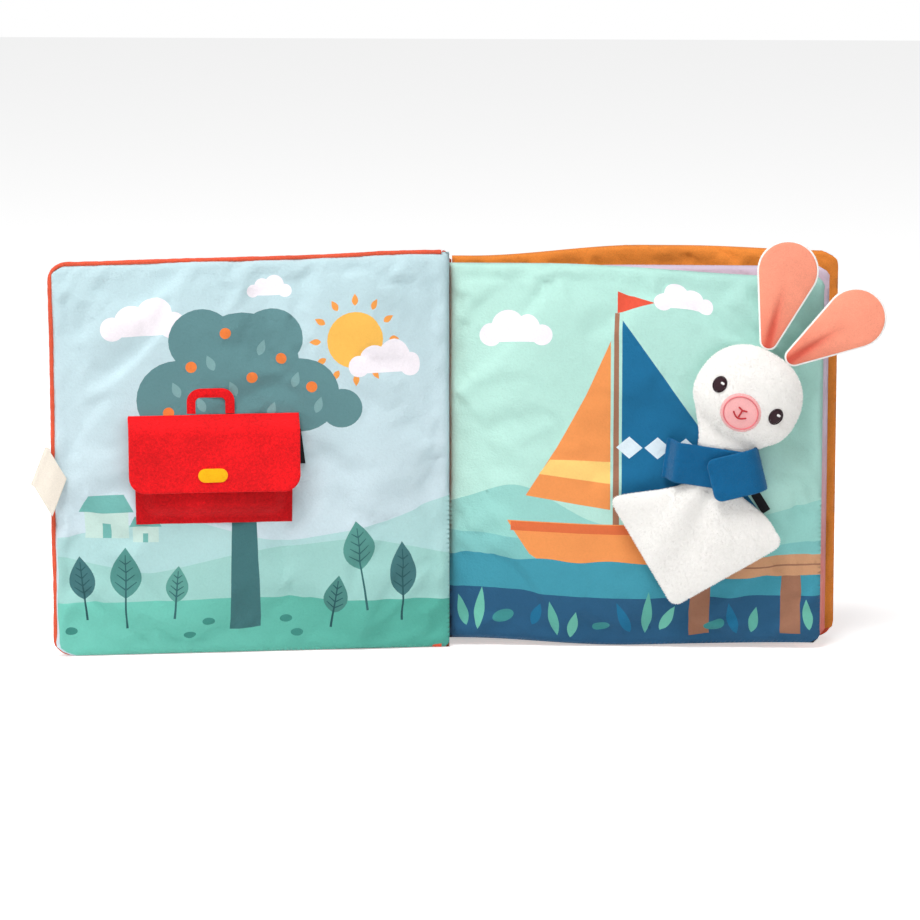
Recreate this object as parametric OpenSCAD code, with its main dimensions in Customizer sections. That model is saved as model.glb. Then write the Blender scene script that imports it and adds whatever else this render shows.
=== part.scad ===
// Cloth activity book that stands open at its first spread: two padded covers on a cloth spine,
// two padded leaves sewn into the spine, a felt briefcase pocket on the front cover's page and a
// plush rabbit held by two velour arms on the first leaf. The pages face -Y.

/* [Covers] */
// Height of the covers and the spine
cover_h = 220; // [190:1:250]
// Width of a cover from its hinge to its outer edge
cover_w = 215.5; // [205:0.5:250]
// Thickness of a padded cover at its middle
cover_t = 12; // [9:0.5:15]
// Radius of a cover's outer corners
cover_r = 10; // [6:0.5:16]
// Angle between the front cover and the leaves
open_angle = 170.6; // [165:0.1:180]
// Radius of the piping round the covers
piping_r = 1.3; // [1:0.1:2.2]
// How far the front cover's top edge sinks at its outer end
front_sink = 1.3; // [0:0.1:6]
// How far the front cover sags from its hinge to its middle
front_sag = 2.5; // [0:0.5:6]
// How much narrower the back cover is than the front one
back_short = 2.5; // [0:0.5:5]
// How far the back cover sags below the front one's hinge
back_sag = 1.4; // [0:0.1:8]
// How far the back cover's top edge sinks beside the spine
back_dip = 6.5; // [0:0.5:12]
// How far the back cover's top edge sinks at its outer end
back_sink = 2.6; // [0:0.1:8]

/* [Spine] */
// Thickness of the spine cloth
spine_t = 4; // [3:0.5:6]
// Radius of the rolled seams that the covers turn on
roll_r = 1.5; // [1:0.1:2]
// Free cloth between a rolled seam and the spine panel
seam_free = 5; // [4.5:0.1:7]

/* [Leaves] */
// How much lower than the front cover the first leaf is at the gutter
leaf_step = 8; // [4:0.5:14]
// How far the first leaf's outer edge stays behind the covers
leaf_margin = 11.2; // [6:0.1:18]
// How much lower the second leaf is than the first
second_step = 2; // [0:0.5:6]
// How much wider the second leaf is than the first
second_more = 4.2; // [0:0.1:6]
// Thickness of a padded leaf at its middle
leaf_t = 12.6; // [9:0.2:15]
// Radius of a leaf's outer corners
leaf_r = 6; // [3:0.5:12]
// Space between the two leaves
leaf_gap = 1; // [0.6:0.1:3]
// Space between the second leaf and the back cover
back_gap = 5.5; // [1:0.5:12]
// How far the first leaf's top edge sinks at its outer end
first_sink = 6.5; // [0:0.5:10]
// How far the second leaf's top edge sinks at the gutter
second_dip = 2; // [0:0.5:6]
// How far a leaf's bottom edge lifts off the floor at the gutter
gutter_lift = 4; // [0:0.5:8]
// How far a leaf's bottom edge lifts off the floor at its outer end
outer_lift = 3; // [0:0.5:8]
// Thickness of the cloth strip that binds the leaves
binding_t = 3; // [2:0.5:5]

/* [Padding] */
// Width of the edge zone in which a panel swells to its full thickness
swell_w = 45; // [25:1:60]
// Thickness of a panel at its sewn rim
rim_t = 3; // [2:0.5:4]
// Depth of the puckers in the edge zone, as a share of the swell
pucker = 0.12; // [0:0.01:0.2]
// Length of one pucker along an edge
pucker_l = 62; // [45:1:90]

/* [Briefcase] */
// Thickness of the felt
felt_t = 1.6; // [1:0.1:2.5]
// Distance from the hinge to the near edge of the flap
case_x = 81.4; // [70:0.1:100]
// Height of the flap's sewn top edge above the floor
case_z = 133.2; // [110:0.1:150]
// Width of the flap
flap_w = 92.7; // [70:0.1:100]
// Length of the flap from its sewn edge to its hem
flap_h = 41.5; // [36:0.5:60]
// Radius of the flap's lower corners
flap_r = 9; // [4:0.5:14]
// How far the pocket is set in from the flap at each side
pocket_inset = 3.2; // [2:0.1:8]
// Clear depth inside the pocket
pocket_gap = 5.4; // [5:0.1:8]
// Length over which the flap folds down over the pocket's mouth
flap_fold = 9; // [7:0.5:12]
// Height of the pocket's foot below the flap's hem
pocket_show = 17; // [12:0.5:24]
// Width of the clasp
clasp_w = 16; // [10:0.2:24]
// Height of the clasp
clasp_h = 7.5; // [5:0.1:10]
// Height of the clasp's middle above the flap's hem
clasp_up = 9.4; // [6:0.1:16]
// Width of the handle
handle_w = 26; // [20:0.5:36]
// Height of the handle
handle_h = 13.8; // [12:0.1:20]
// Width of the band that the handle is cut as
handle_band = 5; // [3:0.5:6]
// Height of the black tape beside the flap
side_tape_h = 19; // [10:0.5:24]

/* [Tag] */
// Width of the ribbon, along its fold
tag_w = 22; // [12:0.5:30]
// How far the fold's lower end stands out past the cover
tag_out = 9.3; // [6:0.1:16]
// Height of the fold's middle above the floor
tag_z = 105.2; // [70:0.1:150]
// Lean of the fold from upright
tag_lean = 21.5; // [0:0.5:30]
// Length of the front layer from the fold to its cut end
tag_run = 19; // [12:0.5:26]
// Angle below level at which the front layer runs
tag_slope = 59.5; // [0:0.5:70]
// Thickness of the ribbon
tag_t = 1; // [0.6:0.1:2]

/* [Rabbit] */
// Distance from the gutter to the rabbit's neck
neck_x = 150.5; // [140:0.5:155]
// Height of the neck above the floor
neck_z = 119; // [105:0.5:130]
// Lean of the head to the right
head_lean = 30; // [20:1:40]
// Width of the head
head_w = 58.5; // [50:0.5:66]
// Height of the head
head_h = 51; // [46:0.5:58]
// Gap between the neck and the head's seam
head_up = 2; // [0:0.1:4]
// Swell of the head in front of its seam
head_front = 12; // [8:0.5:16]
// Length of an ear from its root to its tip
ear_l = 61; // [45:0.5:66]
// Width of an ear near its tip
ear_w = 33; // [24:0.5:38]
// Width of an ear at its root
ear_root_w = 10; // [7:0.5:14]
// Thickness of half an ear, the plush back or the lining
ear_t = 2.2; // [1.5:0.1:3]
// Depth of the fold pressed into an ear's lining
ear_fold = 1.1; // [0:0.1:1.2]
// Plush rim round an ear's lining
ear_rim = 2; // [1:0.1:4]
// Angle of the left ear from the head's upright
left_ear_turn = -15.5; // [-25:0.5:-8]
// Angle of the right ear from the head's upright
right_ear_turn = 27; // [22:0.5:40]
// Diameter of the muzzle patch
muzzle_d = 20; // [14:0.5:24]
// Diameter of an eye
eye_d = 6; // [4:0.5:9]
// Distance between the eyes
eye_apart = 35; // [28:0.5:40]
// Side of the square plush blanket that is the rabbit's body
blanket_side = 69; // [55:0.5:74]
// Radius of the blanket's corners
blanket_r = 5; // [4:0.5:12]
// Thickness of the blanket
blanket_t = 7; // [4:0.2:8]
// Lean of the blanket's diagonal
blanket_lean = 14.5; // [10:0.5:24]
// Shift of the blanket from the neck, to the left and down
blanket_shift = [2.6, 1.2];

/* [Arms] */
// Width of the velour arms
arm_w = 22; // [16:0.5:26]
// Thickness of the velour
arm_t = 1.8; // [1.2:0.1:2.4]
// Length of the left arm
left_arm_l = 46; // [40:1:46]
// Width of the right arm's overlapping end
over_arm_w = 24; // [16:0.5:28]
// Length of the right arm's overlapping end
right_arm_l = 29; // [20:0.5:34]
// Slope of the left arm
left_arm_slope = 8; // [0:1:14]
// Slope of the right arm
right_arm_slope = 14; // [0:1:20]
// Thickness of one half of the fastener
fastener_t = 0.7; // [0.4:0.1:1.2]

/* [Hidden] */
// Clearance between pieces that only lie against each other
fit = 0.3;
// Cells along each side of a padded panel
cells = 18;
// Zones along an edge, as shares of its length, in which the edge bends near the hinge and far from it
near_bend = [0.05, 0.5];
far_bend = [0.6, 1];
leaf_bend = [0.25, 0.95];
leaf_h = cover_h - leaf_step;
leaf_w = cover_w - leaf_margin;
// Distance from the gutter's hinge to the middle of each leaf and to the back hinge
first_y = leaf_t / 2;
second_y = first_y + leaf_t + leaf_gap;
spine_w = second_y + leaf_t / 2 + back_gap + cover_t / 2;
// Where a panel starts, clear of the rolled seam
panel_x = roll_r + fit;
// Distance from a cover's edge to its panel, past the piping
panel_inset = 2 * piping_r + 0.1;
page_face = cover_t / 2;
// How much lower the spine's head is at the back cover
spine_drop = back_sag + back_dip;
// Plane of the rabbit's seam in front of the first leaf
rabbit_y = -(fit + arm_t + fit + blanket_t / 2 + 1);
head_back = -rabbit_y - fit - arm_t - fit;
arm_y = rabbit_y - blanket_t / 2 - fit;
fastener_y = arm_y - arm_t - 0.1;
flap_y = fastener_y - 2 * fastener_t - 0.1;
pocket_w = flap_w - 2 * pocket_inset;
pocket_x = case_x + pocket_inset;
pocket_z = case_z - flap_h - pocket_show;
pocket_h = flap_h + pocket_show - flap_fold - 1;
flap_back = page_face + fit + pocket_gap + felt_t + 2 * fit;
blanket_reach = blanket_side / sqrt(2) - blanket_r * (sqrt(2) - 1);
tape_t = 0.9;
tape_w = 5;
head_rim = 1.2;
// Exponent of the head's oval and how much its cheeks widen it
head_power = 2.33;
head_cheek = 0.07;
patch_gap = 0.15;
// Where the arms pinch the blanket's left and right sides, up from its middle as shares of its side,
// and how much of each side's width is left there
pinch_left = [0, 0.32];
pinch_right = [0.15, 0.38];
pinch_keep = [0.35, 0.5];
blanket_rim = blanket_t * 0.23;

function ease(s) = let (t = min(1, max(0, s))) t * t * (3 - 2 * t);
function ramp(s, zone) = ease((s - zone[0]) / (zone[1] - zone[0]));
// Shift of an edge at share s of its length: near beside the hinge, far at the outer end
function edge_shift(s, near, far, far_zone = far_bend) = near * (1 - ramp(s, near_bend)) + far * ramp(s, far_zone);
// Spacing that crowds towards both ends of an edge
function crowd(i, n) = (1 - cos(180 * i / n)) / 2;
// Share of the full swell at distance d from a sewn edge
function swell(d) = 1 - pow(1 - min(1, max(0, d) / swell_w), 2.2);
function corner_cut(d, r) = d >= r ? 0 : r - sqrt(r * r - (r - d) * (r - d));
function along(p, angle, d) = [p[0] + d * sin(angle), p[1] + d * cos(angle)];

// A panel is [inner x, outer x, bottom z, top z, corner radius, [top near, top far], [bottom near, bottom far], far zone]
front_panel = [panel_x, cover_w, 0, cover_h - front_sag, cover_r, [-front_sag, front_sink], [0, 0], far_bend];
back_panel = [panel_x, cover_w - back_short, 0, cover_h - back_sag, cover_r, [back_dip, back_sink], [0, 0], far_bend];
first_leaf = [0, leaf_w, 0, leaf_h, leaf_r, [0, first_sink], [gutter_lift, outer_lift], leaf_bend];
second_leaf = [0, leaf_w + second_more, 0, leaf_h - second_step, leaf_r, [second_dip, 0], [gutter_lift, outer_lift], leaf_bend];

function panel_top(p, x) = p[3] - edge_shift(x / p[1], p[5][0], p[5][1], p[7]);
function panel_bottom(p, x) = p[2] + edge_shift(x / p[1], p[6][0], p[6][1], p[7]);
// Point of a panel at the shares a and b of its width and height, set in from its edges
function panel_point(p, a, b, inset, start) =
    let (reach = min(b, 1 - b) * (p[3] - p[2] - 2 * inset),
        outer = p[1] - inset - corner_cut(reach, max(1, p[4] - inset)),
        x = start + (outer - start) * a,
        low = panel_bottom(p, x) + inset,
        high = panel_top(p, x) - inset)
    [x, low + (high - low) * b];
// Half thickness of a panel at a point of it
function panel_swell(p, q, inset, half) =
    let (dx = min(q[0] - p[0], p[1] - inset - q[0]),
        dz = min(q[1] - panel_bottom(p, q[0]) - inset, panel_top(p, q[0]) - inset - q[1]),
        rise = swell(dx) * swell(dz),
        wave = sin(360 * (q[0] + 0.4 * q[1]) / pucker_l) + sin(360 * (q[1] - 0.3 * q[0]) / pucker_l))
    rim_t / 2 + (half - rim_t / 2) * rise * (1 - pucker * (1 + wave / 2) * (1 - rise) * 2 * ease(rise * 2));
function panel_grid(p, inset, start, y, half) =
    [for (j = [0:cells]) for (i = [0:cells])
        let (q = panel_point(p, crowd(i, cells), crowd(j, cells), inset, start))
        [q[0], y + sign(half) * panel_swell(p, q, inset, abs(half)), q[1]]];

// Triangles of a grid with nx by ny cells whose points start at index first
function grid_faces(nx, ny, first, flip) =
    [for (j = [0:ny - 1]) for (i = [0:nx - 1])
        let (a = first + j * (nx + 1) + i, b = a + 1, c = b + nx + 1, d = a + nx + 1)
        for (f = flip ? [[a, c, b], [a, d, c]] : [[a, b, c], [a, c, d]]) f];
// Indices of a grid's points round its boundary
function boundary(nx, ny) = concat([for (i = [0:nx]) i], [for (j = [1:ny]) j * (nx + 1) + nx],
    [for (i = [1:nx]) ny * (nx + 1) + nx - i], [for (j = [1:ny - 1]) (ny - j) * (nx + 1)]);
// Triangles of a strip that joins two runs of indices
function strip(a, b, flip) = [for (k = [0:len(a) - 2])
    for (f = flip ? [[a[k], b[k + 1], a[k + 1]], [a[k], b[k], b[k + 1]]]
        : [[a[k], a[k + 1], b[k + 1]], [a[k], b[k + 1], b[k]]]) f];
function closed(run) = concat(run, [run[0]]);

// Solid between a grid and the flat plane y = 0, swelling towards +Y
module swelled_half(points) {
    edge = boundary(cells, cells);
    n = len(points);
    flat = [for (k = edge) [points[k][0], 0, points[k][2]]];
    low = [for (k = [0:len(edge) - 1]) n + k];
    foot = function(i) n + i;
    outer = function(j) n + cells + j;
    head = function(i) n + 3 * cells - i;
    inner = function(j) j == 0 ? n : n + 4 * cells - j;
    polyhedron(concat(points, flat), concat(grid_faces(cells, cells, 0, false),
        strip(closed(low), closed(edge), false),
        [for (j = [0:cells - 1]) [foot(1), inner(j), inner(j + 1)]],
        [[foot(1), head(0), head(1)]],
        strip([for (i = [1:cells]) head(i)], [for (i = [1:cells]) foot(i)], false),
        [for (j = [1:cells - 1]) [foot(cells), outer(j + 1), outer(j)]]));
}

// Sheet between two grids of the same size, the back one behind the front one
module sheet(front, back, nx, ny) {
    edge = closed(boundary(nx, ny));
    n = len(front);
    polyhedron(concat(front, back), concat(grid_faces(nx, ny, 0, true), grid_faces(nx, ny, n, false),
        strip(edge, [for (k = edge) k + n], false)));
}

// Height of a cushion over its seam at share s of the way from its middle to its rim
function swell_height(s, swell, rim) = rim / 2 + (swell - rim / 2) * pow(max(0, 1 - pow(s, 2.4)), 0.62);

// Cushion over a flat outline in X and Z. Its seam lies at y = 0, front and back are its swells
// towards -Y and +Y, and a back of 0 leaves it flat there. press gives a fold's depth at a point
module cushion(outline, centre, front, back, rim, rings, folded = false) {
    n = len(outline);
    sides = back > 0 ? [-1, 1] : [-1];
    ring = function(s, side) [for (q = outline)
        let (x = centre[0] + s * (q[0] - centre[0]), z = centre[1] + s * (q[1] - centre[1]),
            press = folded && side < 0 ? fold_depth(x, z) * (1 - pow(s, 6)) : 0)
        [x, side * (swell_height(s, side < 0 ? front : back, rim) - press), z]];
    shares = [for (k = [1:rings]) sin(90 * k / rings)];
    front_rings = [for (s = shares) each ring(s, -1)];
    back_rings = back > 0 ? [for (k = [rings - 1:-1:0]) each ring(shares[k], 1)] : [for (q = outline) [q[0], 0, q[1]]];
    points = concat([[centre[0], -front, centre[1]]], front_rings, back_rings,
        back > 0 ? [[centre[0], back, centre[1]]] : []);
    rows = back > 0 ? 2 * rings : rings + 1;
    row = function(k) [for (i = [0:n]) 1 + k * n + i % n];
    last = len(points) - 1;
    polyhedron(points, concat(
        [for (i = [0:n - 1]) [0, 1 + (i + 1) % n, 1 + i]],
        [for (k = [0:rows - 2]) each strip(row(k), row(k + 1), false)],
        back > 0 ? [for (i = [0:n - 1]) [last, 1 + (rows - 1) * n + i, 1 + (rows - 1) * n + (i + 1) % n]]
            : [[for (i = [0:n - 1]) 1 + (rows - 1) * n + i]]));
}

// Tube of radius r along a path of points in the plane y = 0
module piping_tube(path, r) {
    sides = 8;
    n = len(path);
    heading = function(k) let (a = path[max(0, k - 1)], b = path[min(n - 1, k + 1)]) atan2(b[1] - a[1], b[0] - a[0]);
    points = [for (k = [0:n - 1]) for (s = [0:sides - 1])
        let (t = heading(k), c = r * cos(360 * s / sides), d = r * sin(360 * s / sides))
        [path[k][0] - sin(t) * c, d, path[k][1] + cos(t) * c]];
    row = function(k) [for (s = [0:sides]) k * sides + s % sides];
    polyhedron(points, concat([for (k = [0:n - 2]) each strip(row(k), row(k + 1), false)],
        [[for (s = [sides - 1:-1:0]) s]], [[for (s = [0:sides - 1]) (n - 1) * sides + s]]));
}

// Path of the piping round a cover: along its foot, up its outer edge and back along its top
function piping_path(p) =
    let (r = p[4] - piping_r, outer = p[1] - piping_r, corner = outer - r,
        start = p[0] + piping_r, top = panel_top(p, p[1]) - piping_r)
    concat([[start, piping_r], [(start + corner) / 2, piping_r]],
        [for (t = [0:15:90]) [corner + r * sin(t), piping_r + r - r * cos(t)]],
        [for (t = [0:15:75]) [corner + r * cos(t), top - r + r * sin(t)]],
        [for (k = [0:12]) let (x = corner + (start - corner) * k / 12) [x, panel_top(p, x) - piping_r]]);

module in_frame() {
    translate([spine_t / 2, -spine_w / 2, 0]) children();
}

// The front cover's own frame: X runs outwards from its hinge and its page faces +Y
module on_front_cover() {
    in_frame() rotate([0, 0, 360 - open_angle]) children();
}

module on_back_cover() {
    in_frame() translate([0, spine_w, 0]) children();
}

// A frame on the first leaf's face, turned right by lean about a point of it
module on_leaf(p, lean) {
    in_frame() translate([p[0], 0, p[1]]) rotate([0, lean, 0]) children();
}

// Outline of the spine from above: a ridged strip with a thin free cloth to a rolled seam at each end
function spine_outline() =
    let (ridges = 5, steps = 40, web = 0.5, foot = seam_free, turn = asin(web / 2 / roll_r),
        wave = function(y) 0.45 * (1 - cos(360 * ridges * (y - foot) / (spine_w - 2 * foot))))
    concat([for (k = [0:steps]) let (y = foot + (spine_w - 2 * foot) * k / steps) [wave(y) - spine_t, y]],
        [for (k = [0:30]) let (t = 270 - turn - (360 - 2 * turn) * k / 30) [roll_r * cos(t) - web / 2, spine_w + roll_r * sin(t)]],
        [[0, spine_w - foot], [0, foot]],
        [for (k = [0:30]) let (t = 90 - turn - (360 - 2 * turn) * k / 30) [roll_r * cos(t) - web / 2, roll_r * sin(t)]]);

module spine() {
    head = cover_h - 2 * piping_r;
    color("darkorange") in_frame() difference() {
        linear_extrude(head) polygon(spine_outline());
        rotate([90, 0, 90]) translate([0, 0, -2 * spine_t]) linear_extrude(4 * spine_t)
            polygon([[-2 * roll_r, head], [-roll_r, head], [spine_w + roll_r, head - spine_drop],
                [spine_w + 2 * roll_r, head - spine_drop], [spine_w + 2 * roll_r, cover_h + 1], [-2 * roll_r, cover_h + 1]]);
    }
}

module spine_piping() {
    start = piping_r + 2.5;
    slope = atan(spine_drop / (spine_w + 2 * roll_r));
    color("orangered") in_frame()
        translate([-spine_t / 2, start, cover_h - piping_r + 0.1 - (start + roll_r) * tan(slope)])
        rotate([-90 - slope, 0, 0]) cylinder(h = (spine_w - 2 * start) / cos(slope), r = piping_r, $fn = 32);
}

// Both leaves and the strip that binds them, as one solid. The strip lies against the spine
module pages() {
    n = (cells + 1) * (cells + 1);
    front_start = fit;
    back_start = fit + binding_t;
    points = concat(
        panel_grid(first_leaf, 0, front_start, first_y, -leaf_t / 2),
        panel_grid(first_leaf, 0, back_start, first_y, leaf_t / 2),
        panel_grid(second_leaf, 0, back_start, second_y, -leaf_t / 2),
        panel_grid(second_leaf, 0, front_start, second_y, leaf_t / 2));
    inner = function(g) [for (j = [0:cells]) g * n + j * (cells + 1)];
    outer = function(g) [for (j = [0:cells]) g * n + j * (cells + 1) + cells];
    foot = function(g) [for (i = [0:cells]) g * n + i];
    head = function(g) [for (i = [0:cells]) g * n + cells * (cells + 1) + i];
    top = [for (g = [0:3]) g * n + cells * (cells + 1)];
    color("paleturquoise") in_frame() polyhedron(points, concat(
        [for (g = [0:3]) each grid_faces(cells, cells, g * n, g % 2 == 0)],
        [for (g = [0, 2]) each concat(strip(outer(g), outer(g + 1), false),
            strip(foot(g), foot(g + 1), false), strip(head(g), head(g + 1), true))],
        strip(inner(1), inner(2), false), strip(inner(3), inner(0), false),
        [[0, n, 2 * n], [0, 2 * n, 3 * n], [top[0], top[2], top[1]], [top[0], top[3], top[2]]]));
}

module front_cover() {
    color("darkorange") on_front_cover() mirror([0, 1, 0])
        swelled_half(panel_grid(front_panel, panel_inset, panel_x, 0, cover_t / 2));
}

module front_page() {
    color("lightblue") on_front_cover()
        swelled_half(panel_grid(front_panel, panel_inset, panel_x, 0, cover_t / 2));
}

module front_piping() {
    color("orangered") on_front_cover() piping_tube(piping_path(front_panel), piping_r);
}

module back_cover() {
    color("darkorange") on_back_cover()
        swelled_half(panel_grid(back_panel, panel_inset, panel_x, 0, cover_t / 2));
}

module back_page() {
    color("chocolate") on_back_cover() mirror([0, 1, 0])
        swelled_half(panel_grid(back_panel, panel_inset, panel_x, 0, cover_t / 2));
}

module back_piping() {
    color("orangered") on_back_cover() piping_tube(piping_path(back_panel), piping_r);
}

// Band of thickness t bent into a hairpin: a back run, a round bend and a front run
module hairpin(back_l, front_l, inner_gap, t) {
    difference() {
        union() {
            circle(inner_gap / 2 + t, $fn = 32);
            translate([-back_l, -inner_gap / 2 - t]) square([back_l, inner_gap / 2 + t]);
            translate([-front_l, 0]) square([front_l, inner_gap / 2 + t]);
        }
        circle(inner_gap / 2, $fn = 32);
        translate([-back_l - front_l, -inner_gap / 2]) square([back_l + front_l, inner_gap]);
    }
}

// One flat layer of the tag, a little thinner than the fold: its outline in X and Z, its back at y
module tag_layer(y, outline) {
    trim = tag_t / 20;
    translate([0, y + tag_t - trim, 0]) rotate([90, 0, 0]) linear_extrude(tag_t - 2 * trim) polygon(outline);
}

// The ribbon comes out of the cover's seam, folds over and runs down across the page's edge
module tag_loop() {
    over_y = page_face - 2.2;
    low = [cover_w + tag_out, tag_z - tag_w / 2 * cos(tag_lean)];
    first = along(low, -tag_lean, tag_t / 5);
    last = along(low, -tag_lean, tag_w - tag_t / 5);
    run = [-tag_run * cos(tag_slope), -tag_run * sin(tag_slope)];
    edge = cover_w + fit;
    seam = function(p) [edge, p[1] - (p[0] - edge) * tan(tag_lean)];
    color("linen") on_front_cover() union() {
        tag_layer(over_y - tag_t, [first, last, last + run, first + run]);
        tag_layer(0, [first, last, seam(last), seam(first)]);
        translate([low[0], over_y / 2, low[1]]) rotate([0, -tag_lean, 0]) linear_extrude(tag_w)
            hairpin(tag_t / 2, tag_t / 2, over_y - 2 * tag_t, tag_t);
    }
}

// Share of the pocket's depth at a point of it: sewn down at its sides and foot, open at its mouth
function pocket_rise(x, z) = let (r = function(d) ease(d / 9)) r(min(x, pocket_w - x) - 2.5) * r(z - 2.5);

module case_pocket() {
    nx = 16;
    ny = 9;
    steps = [0, 2.5, 4.5, 6.5, 8.5, 11.5];
    xs = concat(steps, [for (k = [1:nx - 11]) steps[5] + (pocket_w - 2 * steps[5]) * k / (nx - 10)],
        [for (k = [5:-1:0]) pocket_w - steps[k]]);
    zs = concat(steps, [for (k = [1:ny - 5]) steps[5] + (pocket_h - steps[5]) * k / (ny - 5)]);
    layer = function(t) [for (z = zs) for (x = xs)
        [x, page_face + fit + t + (pocket_gap - fit) * pocket_rise(x, z), z]];
    color("firebrick") on_front_cover() translate([pocket_x, 0, pocket_z])
        sheet(layer(0), layer(felt_t), nx, ny);
}

module case_flap() {
    low = page_face + fit;
    turns = 6;
    path = function(t) concat(
        [for (k = [0:turns]) [low + t + (flap_back - low) * ease(k / turns), flap_h - flap_fold * k / turns]], [[flap_back + t, 0]]);
    inner = path(0);
    outer = path(felt_t);
    color("red") on_front_cover() translate([case_x, 0, case_z - flap_h]) intersection() {
        rotate([90, 0, 90]) linear_extrude(flap_w)
            polygon(concat(inner, [for (k = [len(outer) - 1:-1:0]) outer[k]]));
        translate([0, flap_back + 2 * felt_t, 0]) rotate([90, 0, 0]) linear_extrude(flap_back + 2 * felt_t) union() {
            translate([0, flap_r]) square([flap_w, flap_h - flap_r]);
            translate([flap_r, 0]) square([flap_w - 2 * flap_r, flap_r]);
            for (x = [flap_r, flap_w - flap_r]) translate([x, flap_r]) circle(flap_r, $fn = 48);
        }
    }
}

module case_clasp() {
    r = clasp_h / 2;
    color("gold") on_front_cover()
        translate([case_x + flap_w / 2 + 1, flap_back + felt_t + 1.1, case_z - flap_h + clasp_up])
        rotate([90, 0, 0]) linear_extrude(1) union() {
            square([clasp_w - 2 * r, clasp_h], center = true);
            for (x = [-1, 1]) translate([x * (clasp_w / 2 - r), 0]) circle(r, $fn = 40);
        }
}

// Upright arch with round shoulders, standing on y = 0
module arch(w, h, r) {
    translate([-w / 2, 0]) square([w, h - r]);
    translate([-w / 2 + r, 0]) square([w - 2 * r, h]);
    for (x = [r - w / 2, w / 2 - r]) translate([x, h - r]) circle(r, $fn = 40);
}

module case_handle() {
    color("red") on_front_cover() translate([case_x + flap_w / 2 + 1.5, page_face + fit + felt_t - 0.2, case_z + fit])
        rotate([90, 0, 0]) linear_extrude(felt_t - 0.2) difference() {
            arch(handle_w, handle_h, 7);
            translate([0, -1]) arch(handle_w - 2 * handle_band, handle_h - handle_band + 1, 2.6);
        }
}

module case_tape() {
    color("black") on_front_cover() translate([0, page_face + fit + tape_t, case_z - 28])
        rotate([90, 0, 0]) linear_extrude(tape_t)
        polygon([[case_x - 3.4, 0], [pocket_x - fit, 0], [pocket_x - fit, side_tape_h], [case_x - 1, side_tape_h]]);
}

// Flat outline of an ear: a small round root and a large round tip with straight sides between
function ear_outline(l, w, root_w) =
    let (r = root_w / 2, tip = w / 2, d = l - r - tip, lean = asin((tip - r) / d))
    concat([for (k = [0:4]) let (t = 180 + lean + (180 - 2 * lean) * k / 4) [r * cos(t), r + r * sin(t)]],
        [for (k = [0:18]) let (t = -lean + (180 + 2 * lean) * k / 18) [tip * cos(t), r + d + tip * sin(t)]]);
// Depth of the fold that runs up an ear's lining from its root
function fold_depth(x, z) = ear_fold * exp(-pow(x / 2.6, 2)) * (1 - ease((z - ear_l * 0.15) / (ear_l * 0.5)));

module ear_back() {
    cushion(ear_outline(ear_l, ear_w, ear_root_w), [0, ear_l * 0.62], ear_t, 0, 0.8, 4);
}

module ear_lining() {
    inset = ear_rim;
    shape = ear_outline(ear_l - 2 * inset, ear_w - 2 * inset, ear_root_w - 2 * inset);
    cushion([for (p = shape) [p[0], p[1] + inset]], [0, ear_l * 0.62], ear_t, 0, 0.6, 6, true);
}

head_centre = along([neck_x, neck_z], head_lean, head_h / 2 + head_up);
// Root of an ear on the head's rim, at an angle from the head's upright
function ear_root(turn) = let (share = 0.84 * sin(turn * 0.75), cheek = 1 - head_cheek)
    [share * cheek * head_w / 2, pow(1 - pow(abs(share), head_power), 1 / head_power) * head_h / 2];

module on_ear(turn) {
    root = ear_root(turn);
    on_leaf(head_centre, head_lean) translate([root[0], rabbit_y, root[1] + fit]) rotate([0, turn, 0]) children();
}

module left_ear() {
    color("snow") on_ear(left_ear_turn) rotate([0, 0, 180]) ear_back();
}

module left_ear_lining() {
    color("lightsalmon") on_ear(left_ear_turn) ear_lining();
}

module right_ear() {
    color("snow") on_ear(right_ear_turn) rotate([0, 0, 180]) ear_back();
}

module right_ear_lining() {
    color("lightsalmon") on_ear(right_ear_turn) ear_lining();
}

// Outline of the head: a rounded oval that is wider at the cheeks than at the brow
function head_outline() = [for (k = [0:35])
    let (t = 10 * k, across = sign(cos(t)) * pow(abs(cos(t)), 2 / head_power), up = sign(sin(t)) * pow(abs(sin(t)), 2 / head_power))
    [head_w / 2 * (1 - head_cheek * up) * across, head_h / 2 * up]];
// Share of the way from the head's middle to its rim at a point of the face
function head_share(x, z) =
    let (oval = function(cheek) pow(pow(abs(x) / cheek / head_w * 2, head_power) + pow(abs(z) / head_h * 2, head_power), 1 / head_power),
        rough = oval(1))
    oval(1 - head_cheek * z / head_h * 2 / max(0.01, rough));

module rabbit_head() {
    color("snow") on_leaf(head_centre, head_lean) translate([0, rabbit_y, 0])
        cushion(head_outline(), [0, 0], head_front, head_back, head_rim, 7);
}

// Round patch of thickness t that follows the swell of the face
module face_patch(x, z, d, t, n) {
    layer = function(off) [for (j = [0:n]) for (i = [0:n])
        let (a = 2 * i / n - 1, b = 2 * j / n - 1,
            px = x + d / 2 * a * sqrt(1 - b * b / 2), pz = z + d / 2 * b * sqrt(1 - a * a / 2))
        [px, -swell_height(head_share(px, pz), head_front, head_rim) - off, pz]];
    on_leaf(head_centre, head_lean) translate([0, rabbit_y, 0]) sheet(layer(t + patch_gap), layer(patch_gap), n, n);
}

module rabbit_muzzle() {
    color("pink") face_patch(0, -head_h * 0.19, muzzle_d, 0.9, 8);
}

module rabbit_eyes() {
    color("black") for (side = [-1, 1]) face_patch(side * eye_apart / 2, -head_h * 0.04, eye_d, 1.2, 6);
}

// Square with round corners and one diagonal upright
function blanket_outline() = let (c = blanket_side / sqrt(2) - blanket_r * sqrt(2))
    [for (q = [0:3]) for (k = [0:5]) let (t = 90 * q - 45 + 90 * k / 5)
        [c * cos(90 * q) + blanket_r * cos(t), c * sin(90 * q) + blanket_r * sin(t)]];
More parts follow.
